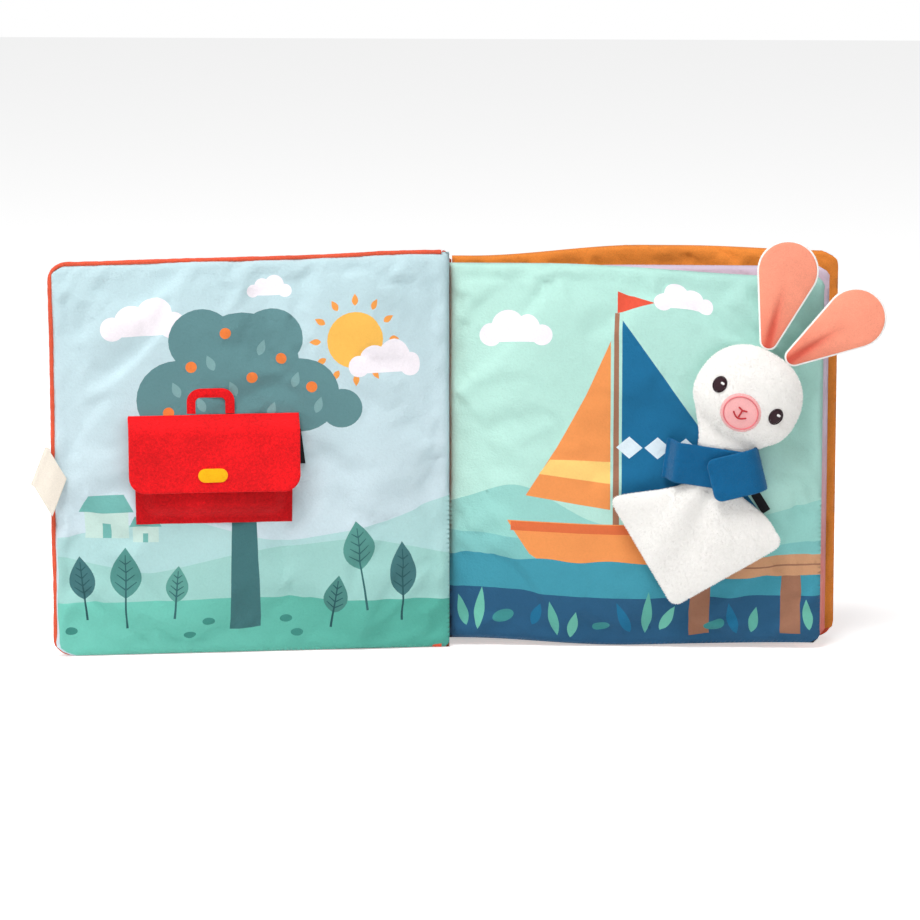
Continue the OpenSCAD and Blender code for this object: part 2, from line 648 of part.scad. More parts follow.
// The blanket's outline, drawn in at the neck
function pinched(run) = [for (q = run)
    let (side = q[0] < 0 ? 0 : 1, zone = (side == 0 ? pinch_left : pinch_right) * blanket_side)
    [q[0] * (1 - (1 - pinch_keep[side]) * ramp(q[1], zone)), q[1]]];
function refined(run) = [for (k = [0:len(run) - 1]) let (a = run[k], b = run[(k + 1) % len(run)], m = norm(b - a) > 20 ? 6 : 1)
    for (i = [0:m - 1]) a + (b - a) * i / m];

module rabbit_blanket() {
    middle = along([neck_x, neck_z] - blanket_shift, blanket_lean, -blanket_reach - fit);
    color("snow") on_leaf(middle, blanket_lean) translate([0, rabbit_y, 0])
        cushion(pinched(refined(blanket_outline())), [0, 0], blanket_t / 2, blanket_t / 2, blanket_rim, 6);
}

// Left arm: sewn to the leaf at its left end, then up and over the rabbit's neck
module left_arm() {
    rise = 6;
    steps = 8;
    low = -fit;
    path = concat([[0, low], [1.5, low]],
        [for (k = [1:steps]) [1.5 + rise * k / steps, low + (arm_y - low) * ease(k / steps)]], [[left_arm_l, arm_y]]);
    color("steelblue") on_leaf([neck_x - 32, neck_z - 12.2], left_arm_slope) translate([0, 0, -arm_w / 2])
        linear_extrude(arm_w) polygon(concat(path, [for (k = [len(path) - 1:-1:0]) [path[k][0], path[k][1] - arm_t]]));
}

// Right arm: sewn to the leaf behind the neck, folded round the rabbit's side and back over the left arm
module right_arm() {
    gap = -fit - arm_t - flap_y;
    bend = gap / 2 + arm_t;
    back_l = 14;
    color("steelblue") on_leaf([neck_x + 21.5 - bend, neck_z - 17.9], -right_arm_slope)
        translate([0, (flap_y - arm_t - fit) / 2, -over_arm_w / 2]) linear_extrude(over_arm_w)
        mirror([0, 1]) hairpin(back_l, right_arm_l - bend, gap, arm_t);
}

module fastener(y) {
    on_leaf([neck_x + 6, neck_z - 17.5], 0) translate([-6, y, -5]) cube([12, fastener_t, 10]);
}

module fastener_loop() {
    color("royalblue") fastener(fastener_y - fastener_t);
}

module fastener_hook() {
    color("royalblue") fastener(fastener_y - 2 * fastener_t);
}

module tether_tape() {
    color("black") on_leaf([neck_x + 20.5, neck_z - 36.5], 148) translate([-tape_w / 2, -fit - tape_t, -6])
        cube([tape_w, tape_t, 12]);
}

spine();
spine_piping();
pages();
front_cover();
front_page();
front_piping();
tag_loop();
case_pocket();
case_flap();
case_clasp();
case_handle();
case_tape();
back_cover();
back_page();
back_piping();
left_arm();
right_arm();
fastener_loop();
fastener_hook();
tether_tape();
rabbit_blanket();
rabbit_head();
rabbit_muzzle();
rabbit_eyes();
left_ear();
left_ear_lining();
right_ear();
right_ear_lining();
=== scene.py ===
"""Cloth activity book, standing open at its first spread."""
import math

import bpy
import bmesh
import numpy as np
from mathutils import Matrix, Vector, noise
from mathutils.geometry import delaunay_2d_cdt


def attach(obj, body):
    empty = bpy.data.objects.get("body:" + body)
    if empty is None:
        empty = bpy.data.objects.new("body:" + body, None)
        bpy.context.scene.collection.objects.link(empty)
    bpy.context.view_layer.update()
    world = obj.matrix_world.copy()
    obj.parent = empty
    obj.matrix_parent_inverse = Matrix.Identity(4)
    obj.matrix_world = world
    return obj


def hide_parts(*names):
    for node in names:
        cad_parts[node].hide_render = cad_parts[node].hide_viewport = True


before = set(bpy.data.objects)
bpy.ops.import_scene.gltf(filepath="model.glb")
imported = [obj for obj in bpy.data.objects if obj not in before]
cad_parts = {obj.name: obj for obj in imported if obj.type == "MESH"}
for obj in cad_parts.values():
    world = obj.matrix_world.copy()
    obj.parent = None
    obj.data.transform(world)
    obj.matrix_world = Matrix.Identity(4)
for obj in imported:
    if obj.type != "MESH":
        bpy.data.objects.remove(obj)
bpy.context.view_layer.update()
scene = bpy.context.scene

# ---------------------------------------------------------------------------
# Studio: a pale floor that keeps the book's soft shadow, a white surround, one
# large lamp above the front and two weak ones at the sides.
# ---------------------------------------------------------------------------
HINGE_X, HINGE_Y = 2.0, 18.85


def linear(r, g, b):
    """A colour given as it looks, 0 to 255, as the shader wants it."""
    return tuple((c / 255 / 12.92) if c <= 10 else ((c / 255 + 0.055) / 1.055) ** 2.4 for c in (r, g, b)) + (1.0,)


def add_node(tree, kind, **inputs):
    """A shader node; each input is a number, a colour or another node's output."""
    node = tree.nodes.new("ShaderNode" + kind)
    for key, value in inputs.items():
        name = key.replace("_", " ")
        if name in node.inputs:
            if isinstance(value, bpy.types.NodeSocket):
                tree.links.new(value, node.inputs[name])
            else:
                node.inputs[name].default_value = value
        else:
            setattr(node, key, value)
    return node


def combined(tree, operation, first, second):
    """The output of a Math node; first and second are numbers or other nodes' outputs."""
    node = add_node(tree, "Math", operation=operation)
    for socket, value in zip(node.inputs, (first, second)):
        if isinstance(value, bpy.types.NodeSocket):
            tree.links.new(value, socket)
        else:
            socket.default_value = value
    return node.outputs[0]


def studio_surface(name, grey, lift):
    """A matt floor that the camera sees lifted towards white."""
    material = bpy.data.materials.new(name)
    material.use_nodes = True
    tree = material.node_tree
    tree.nodes.clear()
    path = add_node(tree, "LightPath")
    seen = combined(tree, "ADD", path.outputs["Is Camera Ray"], path.outputs["Is Glossy Ray"])
    seen = combined(tree, "ADD", seen, path.outputs["Is Transmission Ray"])
    strength = combined(tree, "MULTIPLY", seen, lift)
    matt = add_node(tree, "BsdfDiffuse", Color=(grey, grey, grey, 1))
    glow = add_node(tree, "Emission", Color=(1, 1, 1, 1), Strength=strength)
    both = add_node(tree, "AddShader")
    tree.links.new(matt.outputs[0], both.inputs[0])
    tree.links.new(glow.outputs[0], both.inputs[1])
    out = add_node(tree, "OutputMaterial")
    tree.links.new(both.outputs[0], out.inputs["Surface"])
    return material


floor_mesh = bpy.data.meshes.new("studio_floor")
floor_mesh.from_pydata([(-4, -4, 0), (4, -4, 0), (4, 4, 0), (-4, 4, 0)], [], [(0, 1, 2, 3)])
floor = bpy.data.objects.new("studio_floor", floor_mesh)
floor.location.z = -0.0003
scene.collection.objects.link(floor)
floor_mesh.materials.append(studio_surface("studio_floor", 0.98, 0.5))

world = bpy.data.worlds.new("studio")
scene.world = world
world.use_nodes = True
tree = world.node_tree
tree.nodes.clear()
path = add_node(tree, "LightPath")
seen = combined(tree, "MAXIMUM", path.outputs["Is Camera Ray"], path.outputs["Is Transmission Ray"])
dim = add_node(tree, "Background", Color=(1.0, 1.0, 1.0, 1), Strength=0.36)
bright = add_node(tree, "Background", Color=(1, 1, 1, 1), Strength=1.0)
pick = add_node(tree, "MixShader", Fac=seen)
tree.links.new(dim.outputs[0], pick.inputs[1])
tree.links.new(bright.outputs[0], pick.inputs[2])
tree.links.new(pick.outputs[0], add_node(tree, "OutputWorld").inputs["Surface"])


def lamp(name, at, aim, size, power):
    light = bpy.data.lights.new(name, "AREA")
    light.shape = "RECTANGLE"
    light.size, light.size_y = size
    light.energy = power
    obj = bpy.data.objects.new(name, light)
    obj.location = at
    obj.rotation_euler = (Vector(aim) - Vector(at)).to_track_quat("-Z", "Y").to_euler()
    scene.collection.objects.link(obj)


lamp("lamp_above", (-0.4, -0.8, 1.8), (0, 0, 0.1), (0.9, 0.7), 30)
lamp("lamp_left", (-1.8, -0.9, 0.5), (0, 0, 0.1), (0.8, 1.0), 5)
lamp("lamp_right", (1.8, -1.3, 0.7), (0, 0, 0.1), (0.8, 1.0), 4)

CAMERA_AZIMUTH, CAMERA_ELEVATION = math.radians(2.7), math.radians(10.0)
CAMERA_FAR, FRAME_WIDE = 2.5, 0.502
right = Vector((math.cos(CAMERA_AZIMUTH), math.sin(CAMERA_AZIMUTH), 0))
aim = Vector((HINGE_X, -HINGE_Y, 104.2)) / 1000 + right * 0.0071
back = Vector((math.sin(CAMERA_AZIMUTH) * math.cos(CAMERA_ELEVATION),
               -math.cos(CAMERA_AZIMUTH) * math.cos(CAMERA_ELEVATION), math.sin(CAMERA_ELEVATION)))
lens = bpy.data.cameras.new("camera")
lens.sensor_width = 36
lens.lens = 36 * CAMERA_FAR / FRAME_WIDE
lens.clip_end = 20
camera = bpy.data.objects.new("camera", lens)
camera.location = aim + back * CAMERA_FAR
camera.rotation_euler = (-back).to_track_quat("-Z", "Y").to_euler()
scene.collection.objects.link(camera)
scene.camera = camera
scene.view_settings.view_transform = "Standard"

# ---------------------------------------------------------------------------
# Front cover: printed polyester in front and orange velour behind, sewn round
# a padding that swells between the seams. The cloth is cut a little larger
# than its seams, so it wrinkles on the padding; the simulation finds those.
# ---------------------------------------------------------------------------
HALF_COVER, HALF_LEAF = 6.0, 6.3
SWELL_ZONE = 45.0
GRID = 56
FINE_CELL = 2.6
SLACK, HOLD, SETTLE_FRAMES = 0.03, 0.02, 24
CLOTH_FEEL = {"quality": 6, "mass": 0.15, "tension_stiffness": 25, "compression_stiffness": 25, "shear_stiffness": 12,
              "bending_stiffness": 0.15, "air_damping": 4, "shrink_min": -SLACK, "shrink_max": -SLACK,
              "use_pressure": True, "uniform_pressure_force": 1.0, "vertex_group_mass": "held", "pin_stiffness": 1.0}
FRONT_TURN = math.radians(360 - 170.6)
FRONT_WIDE, FRONT_HIGH, FRONT_SINKS = 215.5, 217.5, (-2.5, 1.3)


def ease(s):
    t = np.clip(s, 0, 1)
    return t * t * (3 - 2 * t)


def edge_shift(s, near, far, zone=(0.6, 1.0)):
    return near * (1 - ease((s - 0.05) / 0.45)) + far * ease((s - zone[0]) / (zone[1] - zone[0]))


class Panel:
    """A padded panel's outline in its own frame, in millimetres: X outwards from the gutter and Z up."""

    def __init__(self, inner, outer, foot, head, corner, head_sinks, foot_lifts, half, zone=(0.6, 1.0)):
        self.inner, self.outer, self.foot, self.head, self.corner = inner, outer, foot, head, corner
        self.head_sinks, self.foot_lifts, self.half = (*head_sinks, zone), (*foot_lifts, zone), half
        self.wide, self.high = outer - inner, head - foot

    def low(self, x):
        return self.foot + edge_shift(x / self.outer, *self.foot_lifts)

    def top(self, x):
        return self.head - edge_shift(x / self.outer, *self.head_sinks)

    def point(self, a, b):
        reach = np.minimum(b, 1 - b) * self.high
        r = self.corner
        cut = np.where(reach < r, r - np.sqrt(np.maximum(0, r * r - (r - reach) ** 2)), 0)
        x = self.inner + (self.outer - cut - self.inner) * a
        return x, self.low(x) + (self.top(x) - self.low(x)) * b

    def swell(self, x, z):
        """Half thickness at a point: steep at the seam and flat in the middle."""
        across = np.minimum(x - self.inner, self.outer - x)
        up = np.minimum(z - self.low(x), self.top(x) - z)
        rise = 1.0
        for d in (across, up):
            rise = rise * (1 - (1 - np.clip(d / SWELL_ZONE, 0, 1)) ** 2.2)
        rim = 1.5 * np.sqrt(np.clip(1 - (1 - np.clip(np.minimum(across, up) / 3.0, 0, 1)) ** 2, 0, 1))
        return rim + (self.half - 1.5) * rise


def wrinkled(panel, seed):
    """Both faces of a panel as grids of points, with the cloth's wrinkles. The cloth is SLACK larger than its seams,
    and HOLD is how firmly the padding holds it."""
    share = np.linspace(0, 1, GRID + 1)
    a, b = np.meshgrid(share, share)
    x, z = panel.point(a, b)
    half = panel.swell(x, z)
    rim_far = np.minimum(np.minimum(x - panel.inner, panel.outer - x), np.minimum(z - panel.low(x), panel.top(x) - z))
    gather = np.vectorize(lambda p, q: noise.noise(Vector((p * 0.11, q * 0.11, seed * 7.3))))(x, z)
    gather = gather * 1.1 * ease(rim_far / 4) * (1 - ease((rim_far - 5) / 16))
    faces = [np.stack([x, side * (half + gather), z], -1) for side in (-1, 1)]
    size = GRID + 1
    rim = np.zeros((size, size), bool)
    rim[0], rim[-1], rim[:, 0], rim[:, -1] = True, True, True, True
    front_index = np.arange(size * size).reshape(size, size)
    back_index = front_index.copy()
    back_index[~rim] = size * size + np.arange((~rim).sum())
    places = np.concatenate([faces[0].reshape(-1, 3), faces[1][~rim]]) / 1000
    ripple = [0.25 * noise.noise(Vector((p[0] * 60, p[2] * 60 + seed, p[1] * 200))) / 1000 for p in places]
    places[:, 1] += ripple
    quads = []
    for index, turn in ((front_index, False), (back_index, True)):
        for j in range(GRID):
            for i in range(GRID):
                quad = [index[j, i], index[j, i + 1], index[j + 1, i + 1], index[j + 1, i]]
                quads.append(quad[::-1] if turn else quad)
    mesh = bpy.data.meshes.new("cloth_trial")
    mesh.from_pydata(places.tolist(), [], [[int(k) for k in q] for q in quads])
    trial = bpy.data.objects.new("cloth_trial", mesh)
    scene.collection.objects.link(trial)
    pins = trial.vertex_groups.new(name="held")
    edge = set(int(k) for k in front_index[rim])
    for k in range(len(places)):
        pins.add([k], 1.0 if k in edge else HOLD, "REPLACE")
    cloth = trial.modifiers.new("Cloth", "CLOTH")
    for key, value in CLOTH_FEEL.items():
        setattr(cloth.settings, key, value)
    cloth.settings.effector_weights.gravity = 0
    cloth.collision_settings.use_collision = False
    cloth.point_cache.frame_start, cloth.point_cache.frame_end = 1, SETTLE_FRAMES
    for k in range(1, SETTLE_FRAMES + 1):
        scene.frame_set(k)
    done = trial.evaluated_get(bpy.context.evaluated_depsgraph_get()).data
    moved = np.empty(len(places) * 3, np.float32)
    done.vertices.foreach_get("co", moved)
    moved = moved.reshape(-1, 3).astype(float) * 1000
    bpy.data.objects.remove(trial)
    scene.frame_set(1)
    shift = moved - places * 1000
    shift[:, [0, 2]] = np.clip(shift[:, [0, 2]], -1.5, 1.5)
    shift = np.nan_to_num(shift)
    result = []
    for face, index in zip(faces, (front_index, back_index)):
        step = shift[index]
        step[..., 1] -= blurred(step[..., 1], 7)
        step[..., 1] = np.clip(step[..., 1], -1.6, 1.6) * ease(rim_far / 9)
        step[rim] = 0
        result.append(face + step)
    return result


def blurred(field, reach):
    """A grid of numbers averaged over reach cells each way, with the rim counted as level."""
    out = field
    for axis in (0, 1):
        for _ in range(2):
            padded = np.pad(out, [(reach, reach) if k == axis else (0, 0) for k in (0, 1)], mode="edge")
            total = np.cumsum(padded, axis=axis)
            n = field.shape[axis]
            upper = np.take(total, range(2 * reach, 2 * reach + n), axis=axis)
            lower = np.take(total, range(0, n), axis=axis)
            out = (upper - lower) / (2 * reach)
    return out


def on_cloth(grid, a, b):
    """Points of a smooth surface through a grid, at the shares a and b of its width and height."""
    n = grid.shape[0] - 1

    def weights(t):
        k = np.clip(np.floor(t * n).astype(int), 0, n - 1)
        f = t * n - k
        w = np.stack([-f ** 3 + 2 * f ** 2 - f, 3 * f ** 3 - 5 * f ** 2 + 2, -3 * f ** 3 + 4 * f ** 2 + f,
                      f ** 3 - f ** 2]) / 2
        return [np.clip(k + s, 0, n) for s in (-1, 0, 1, 2)], w

    ks, ws = weights(b)
    ls, vs = weights(a)
    out = np.zeros((len(a), 3))
    for k, w in zip(ks, ws):
        for m, v in zip(ls, vs):
            out += grid[k, m] * (w * v)[:, None]
    return out


def printed(wide, high, fields):
    """A flat printed cloth: triangles that follow the outlines of its fields of colour, and their corner colours."""
    nx, nz = round(wide / FINE_CELL), round(high / FINE_CELL)
    points = [Vector((wide * i / nx, high * j / nz)) for j in range(nz + 1) for i in range(nx + 1)]
    outlines = []
    for outline, _ in fields:
        first = len(points)
        turn = sum(p[0] * q[1] - q[0] * p[1] for p, q in zip(outline, outline[1:] + outline[:1]))
        outline = outline if turn > 0 else outline[::-1]
        parts = [max(1, math.ceil(math.dist(p, q) / FINE_CELL)) for p, q in zip(outline, outline[1:] + outline[:1])]
        outline = [(p[0] + (q[0] - p[0]) * k / n, p[1] + (q[1] - p[1]) * k / n)
                   for p, q, n in zip(outline, outline[1:] + outline[:1], parts) for k in range(n)]
        points += [Vector((min(wide, max(0, p[0])), min(high, max(0, p[1])))) for p in outline]
        outlines.append(list(range(first, first + len(outline))))
    spots, _, tris, _, _, owners = delaunay_2d_cdt(points, [], outlines, 0, 1e-4)
    flat = np.array([(p.x, p.y) for p in spots])
    keep, colours = [], []
    for tri, owner in zip(tris, owners):
        p = flat[list(tri)]
        area = (p[1, 0] - p[0, 0]) * (p[2, 1] - p[0, 1]) - (p[2, 0] - p[0, 0]) * (p[1, 1] - p[0, 1])
        if abs(area) < 1e-6:
            continue
        colour = fields[max(owner)][1] if owner else fields[0][1]
        keep.append(tri if area > 0 else tri[::-1])
        p = flat[list(keep[-1])]
        colours.append([colour(*q) if callable(colour) else colour for q in p])
    return flat, np.array(keep), np.array(colours)


def rectangle(x0, z0, x1, z1):
    return [(x0, z0), (x1, z0), (x1, z1), (x0, z1)]


def plain_cloth(colour):
    return [(rectangle(0, 0, 230, 230), colour)]


def padded_panel(name, panel, faces, prints, place, materials):
    """One closed padded panel. faces are its two grids, prints its two lists of colour fields, place its way into
    the book's frame."""
    verts, polys, tints, slots, maps = [], [], [], [], []
    for side, (grid, fields) in enumerate(zip(faces, prints)):
        flat, tris, colours = printed(panel.wide, panel.high, fields)
        spots = on_cloth(grid, np.clip(flat[:, 0] / panel.wide, 0, 1), np.clip(flat[:, 1] / panel.high, 0, 1))
        tris = tris + len(verts)
        if side == 1:
            tris, colours = tris[:, ::-1], colours[:, ::-1]
        verts += spots.tolist()
        maps += flat.tolist()
        polys += tris.tolist()
        tints += colours.reshape(-1, 4).tolist()
        slots += [side] * len(tris)
    mesh = bpy.data.meshes.new(name)
    mesh.from_pydata(place(np.array(verts)), [], polys)
    tint = mesh.color_attributes.new("print_and_painted_shade", "FLOAT_COLOR", "CORNER")
    tint.data.foreach_set("color", np.array(tints, np.float32).ravel())
    layer = mesh.uv_layers.new(name="cloth")
    loops = np.empty(len(mesh.loops), np.int32)
    mesh.loops.foreach_get("vertex_index", loops)
    layer.data.foreach_set("uv", (np.array(maps, np.float32)[loops] / 1000).ravel())
    mesh.polygons.foreach_set("material_index", slots)
    mesh.polygons.foreach_set("use_smooth", [True] * len(polys))
    for material in materials:
        mesh.materials.append(material)
    work = bmesh.new()
    work.from_mesh(mesh)
    bmesh.ops.remove_doubles(work, verts=work.verts, dist=0.00001)
    bmesh.ops.recalc_face_normals(work, faces=work.faces)
    work.to_mesh(mesh)
    work.free()
    obj = bpy.data.objects.new(name, mesh)
    scene.collection.objects.link(obj)
    return obj


def on_front_cover(points):
    """From the front cover's own frame to the book's: X outwards from its hinge, its page towards +Y."""
    c, s = math.cos(FRONT_TURN), math.sin(FRONT_TURN)
    p = np.asarray(points, float)
    x, y = HINGE_X + p[..., 0] * c - p[..., 1] * s, -HINGE_Y + p[..., 0] * s + p[..., 1] * c
    return (np.stack([x, y, p[..., 2]], -1) / 1000).tolist()


def oval(x, z, rx, rz, lean=0.0, n=28):
    c, s = math.cos(math.radians(lean)), math.sin(math.radians(lean))
    turn = [2 * math.pi * k / n for k in range(n)]
    return [(x + rx * math.cos(t) * c + rz * math.sin(t) * s, z - rx * math.cos(t) * s + rz * math.sin(t) * c)
            for t in turn]


def leaf(x, z, w, h, lean=0.0, n=12):
    """A pointed leaf that stands on its foot at x, z."""
    c, s = math.cos(math.radians(lean)), math.sin(math.radians(lean))
    half = [(w / 2 * math.sin(math.pi * (k / n) ** 0.8), h * k / n) for k in range(n + 1)]
    run = half + [(-p, q) for p, q in half[-2:0:-1]]
    return [(x + p * c + q * s, z - p * s + q * c) for p, q in run]


def bar(x0, z0, x1, z1, w0, w1=None):
    """A straight stroke between two points, w0 wide at its start and w1 at its end."""
    w1 = w0 if w1 is None else w1
    long = math.hypot(x1 - x0, z1 - z0)
    nx, nz = -(z1 - z0) / long, (x1 - x0) / long
    return [(x0 + nx * w0 / 2, z0 + nz * w0 / 2), (x0 - nx * w0 / 2, z0 - nz * w0 / 2),
            (x1 - nx * w1 / 2, z1 - nz * w1 / 2), (x1 + nx * w1 / 2, z1 + nz * w1 / 2)]


def rolling(wide, levels):
    """A hill from edge to edge: levels are pairs of x and height."""
    xs = np.linspace(0, wide, 60)
    zs = np.interp(xs, [p[0] for p in levels], [p[1] for p in levels])
    for _ in range(6):
        zs[1:-1] = (zs[:-2] + zs[1:-1] + zs[2:]) / 3
    return [(0, 0), (wide, 0)] + [(x, z) for x, z in zip(xs[::-1], zs[::-1])]


def cloud(x, z, size, colour):
    puffs = ((-0.95, 0.28, 0.42), (-0.35, 0.62, 0.58), (0.38, 0.5, 0.5), (0.95, 0.26, 0.38))
    fields = [(oval(x + size * px, z + size * pz, size * r, size * r), colour) for px, pz, r in puffs]
    return fields + [(rounded_bar(x - size * 0.98, x + size * 0.98, z, z + size * 0.5), colour)]


def rounded_bar(x0, x1, z0, z1, n=8):
    r = (z1 - z0) / 2
    turn = [math.pi * k / n - math.pi / 2 for k in range(n + 1)]
    right = [(x1 - r + r * math.cos(t), z0 + r + r * math.sin(t)) for t in turn]
    return right + [(x0 + r - r * math.cos(t), z0 + r - r * math.sin(t)) for t in turn]


def sun(x, z, r, colour, ray):
    rays = [leaf(x + 1.22 * r * math.sin(t), z + 1.22 * r * math.cos(t), r * 0.22, r * 0.42, math.degrees(t))
            for t in [2 * math.pi * k / 12 for k in range(12)]]
    return [(run, ray) for run in rays] + [(oval(x, z, r, r), colour)]


def leaf_tree(x, z, w, h, stem, crown, vein, lean=0.0):
    """A leaf on a stem: the crown, its midrib and side veins."""
    c, s = math.cos(math.radians(lean)), math.sin(math.radians(lean))
    at = lambda p, q: (x + p * c + q * s, z - p * s + q * c)
    fields = [(leaf(*at(0, stem), w, h, lean), crown), (bar(*at(0, 0), *at(0, stem + h * 0.86), 1.3, 0.5), vein)]
    for k in range(4):
        q = stem + h * (0.16 + 0.17 * k)
        reach = w * (0.34 - 0.05 * k)
        fields += [(bar(*at(0, q), *at(side * reach, q + reach * 0.75), 0.8, 0.4), vein) for side in (-1, 1)]
    return fields


def fade(start, end, way, first, last):
    """A colour that goes from start to end between two places along X, where way is 0, or along Z, where it is 1."""
    start, end = np.array(linear(*start)), np.array(linear(*end))
    return lambda *place: tuple(start + (end - start) * float(np.clip((place[way] - first) / (last - first), 0, 1)))


sky = fade((206, 222, 230), (190, 216, 222), 1, 40, 200)
meadow = fade((82, 168, 152), (118, 202, 186), 0, 0, 210)
GREY_TEAL, DARK_TEAL = linear(96, 138, 142), linear(64, 112, 116)
CLOUD_WHITE, ROOF_TEAL = linear(247, 240, 246), linear(112, 178, 172)
left_wide = 213.0
left_print = [(rectangle(0, 0, 230, 230), sky)]
left_print += [(rolling(left_wide, [(0, 84), (40, 70), (95, 62), (150, 78), (213, 66)]), linear(176, 214, 214))]
left_print += [(rolling(left_wide, [(0, 52), (50, 64), (110, 58), (165, 46), (213, 56)]), linear(158, 206, 200))]
left_print += sun(52, 170, 15, linear(250, 190, 88), linear(246, 160, 78))
left_print += cloud(36, 152, 15, CLOUD_WHITE) + cloud(166, 176, 17, CLOUD_WHITE) + cloud(98, 196, 9, CLOUD_WHITE)
for x, z, w in ((186, 66, 24), (165, 64, 14)):
    left_print += [(rectangle(x - w / 2, z, x + w / 2, z + w * 0.62), linear(196, 222, 214)),
                   ([(x - w * 0.62, z + w * 0.6), (x + w * 0.62, z + w * 0.6), (x + w * 0.4, z + w),
                     (x - w * 0.4, z + w)], ROOF_TEAL),
                   (rectangle(x - w * 0.1, z, x + w * 0.1, z + w * 0.34), ROOF_TEAL)]
left_print += [(rolling(left_wide, [(0, 27), (60, 30), (120, 33), (213, 30)]), meadow)]
left_print += [(bar(112, 14, 113, 120, 17, 10), DARK_TEAL), (bar(112, 100, 150, 138, 8, 4), DARK_TEAL),
               (bar(113, 96, 78, 136, 8, 4), DARK_TEAL)]
for x, z, r in ((113, 158, 31), (82, 142, 21), (147, 141, 22), (97, 173, 17), (134, 172, 18), (60, 134, 11)):
    left_print += [(oval(x, z, r, r * 0.94), GREY_TEAL)]
for x, z in ((104, 168), (128, 160), (86, 150), (146, 146), (116, 146), (99, 134), (133, 138), (74, 136)):
    left_print += [(leaf(x, z - 4, 4.5, 9, 25 if x > 110 else -20), linear(126, 166, 168))]
for x, z in ((92, 162), (122, 176), (140, 158), (76, 146), (108, 152), (152, 134)):
    left_print += [(oval(x, z, 3.0, 3.0, n=16), linear(238, 128, 62))]
VEIN, DEEP_VEIN = linear(52, 102, 104), linear(40, 84, 88)
for tree_sizes in ((26, 16, 15, 30, 14, DARK_TEAL, DEEP_VEIN), (46, 24, 18, 27, 22, linear(86, 148, 140), VEIN, 8),
                   (66, 13, 13, 22, 9, linear(74, 132, 126), DEEP_VEIN, -8),
                   (176, 15, 17, 28, 18, linear(80, 142, 136), linear(48, 96, 98)),
                   (197, 20, 14, 24, 12, DARK_TEAL, DEEP_VEIN, 6),
                   (150, 22, 12, 20, 9, linear(92, 156, 146), VEIN, -5)):
    left_print += leaf_tree(*tree_sizes)
for x, z in ((90, 18), (132, 20), (142, 12), (84, 10), (206, 14)):
    left_print += [(oval(x, z, 3.4, 2.2, n=14), linear(64, 140, 130))]


def cloth_surface(name, tint, weave=900.0, weave_depth=0.05, crumple=0.35, mottle=0.06, sheen=0.12, roughness=0.86):
    """Woven or napped cloth. tint is a colour, or the name of the mesh's colour attribute: the pages' print, and the
    ear linings' salmon with painted shade.
    """
    material = bpy.data.materials.new(name)
    material.use_nodes = True
    tree = material.node_tree
    shader = tree.nodes["Principled BSDF"]
    place = add_node(tree, "TexCoord").outputs["Object"]
    if isinstance(tint, str):
        base = add_node(tree, "Attribute", attribute_name=tint).outputs["Color"]
    else:
        base = add_node(tree, "RGB").outputs[0]
        base.default_value = tint
    cloudy = add_node(tree, "TexNoise", Vector=place, Scale=34.0, Detail=5.0, Roughness=0.6)
    grain = add_node(tree, "TexNoise", Vector=place, Scale=weave, Detail=2.0, Roughness=0.7)
    value, fleck = [add_node(tree, "MapRange", Value=noisy.outputs["Fac"], From_Min=0.3, From_Max=0.7,
                             To_Min=1 - mottle, To_Max=1 + mottle).outputs[0] for noisy in (cloudy, grain)]
    shade = add_node(tree, "HueSaturation", Color=base, Value=combined(tree, "MULTIPLY", value, fleck))
    tree.links.new(shade.outputs[0], shader.inputs["Base Color"])
    shader.inputs["Roughness"].default_value = roughness
    shader.inputs["Specular IOR Level"].default_value = 0.25
    shader.inputs["Sheen Weight"].default_value = sheen
    shader.inputs["Sheen Roughness"].default_value = 0.45
    soft = add_node(tree, "TexNoise", Vector=place, Scale=120.0, Detail=4.0, Roughness=0.55)
    first = add_node(tree, "Bump", Height=soft.outputs["Fac"], Strength=crumple, Distance=0.0012)
    second = add_node(tree, "Bump", Height=grain.outputs["Fac"], Strength=0.6, Distance=weave_depth / 100,
                      Normal=first.outputs[0])
    tree.links.new(second.outputs[0], shader.inputs["Normal"])
    return material


printed_cloth = cloth_surface("printed_polyester", "print_and_painted_shade", mottle=0.03)
orange_velour = cloth_surface("orange_velour", linear(196, 78, 16), weave=1500, mottle=0.09, sheen=0.15, crumple=0.5)
front_panel = Panel(-1.3, FRONT_WIDE - 1.4, 0.2, FRONT_HIGH - 1.3, 9.0, FRONT_SINKS, (0, 0), HALF_COVER)
front_faces = wrinkled(front_panel, 1)
front_pad = padded_panel("front_cover_pad", front_panel, [front_faces[1], front_faces[0]],
                         [left_print, plain_cloth(linear(206, 96, 34))], on_front_cover, [printed_cloth, orange_velour])
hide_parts("front_cover", "front_page")
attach(front_pad, "front")

# ---------------------------------------------------------------------------
# Piping: a cord in a bias strip of woven cloth, sewn between the two cloths of
# each cover along its foot, outer edge and head, and along the spine's head.
# ---------------------------------------------------------------------------
PIPING_R = 1.3


def geometry_tree(name, **sizes):
    """An empty Geometry Nodes tree with a geometry in and out, and a named input for each size."""
    tree = bpy.data.node_groups.new(name, "GeometryNodeTree")
    tree.interface.new_socket("Geometry", in_out="INPUT", socket_type="NodeSocketGeometry")
    tree.interface.new_socket("Geometry", in_out="OUTPUT", socket_type="NodeSocketGeometry")
    for key, value in sizes.items():
        kind = "NodeSocketMaterial" if value is None else "NodeSocketFloat"
        socket = tree.interface.new_socket(key, in_out="INPUT", socket_type=kind)
        if value is not None:
            socket.default_value = value
    return tree, tree.nodes.new("NodeGroupInput"), tree.nodes.new("NodeGroupOutput")


def step(tree, kind, *links, **values):
    """A Geometry Nodes node; links are pairs of its input's name or number and what feeds it."""
    node = tree.nodes.new(kind)
    for key, value in values.items():
        setattr(node, key, value)
    for name, source in links:
        if isinstance(source, bpy.types.NodeSocket):
            tree.links.new(source, node.inputs[name])
        else:
            node.inputs[name].default_value = source
    return node


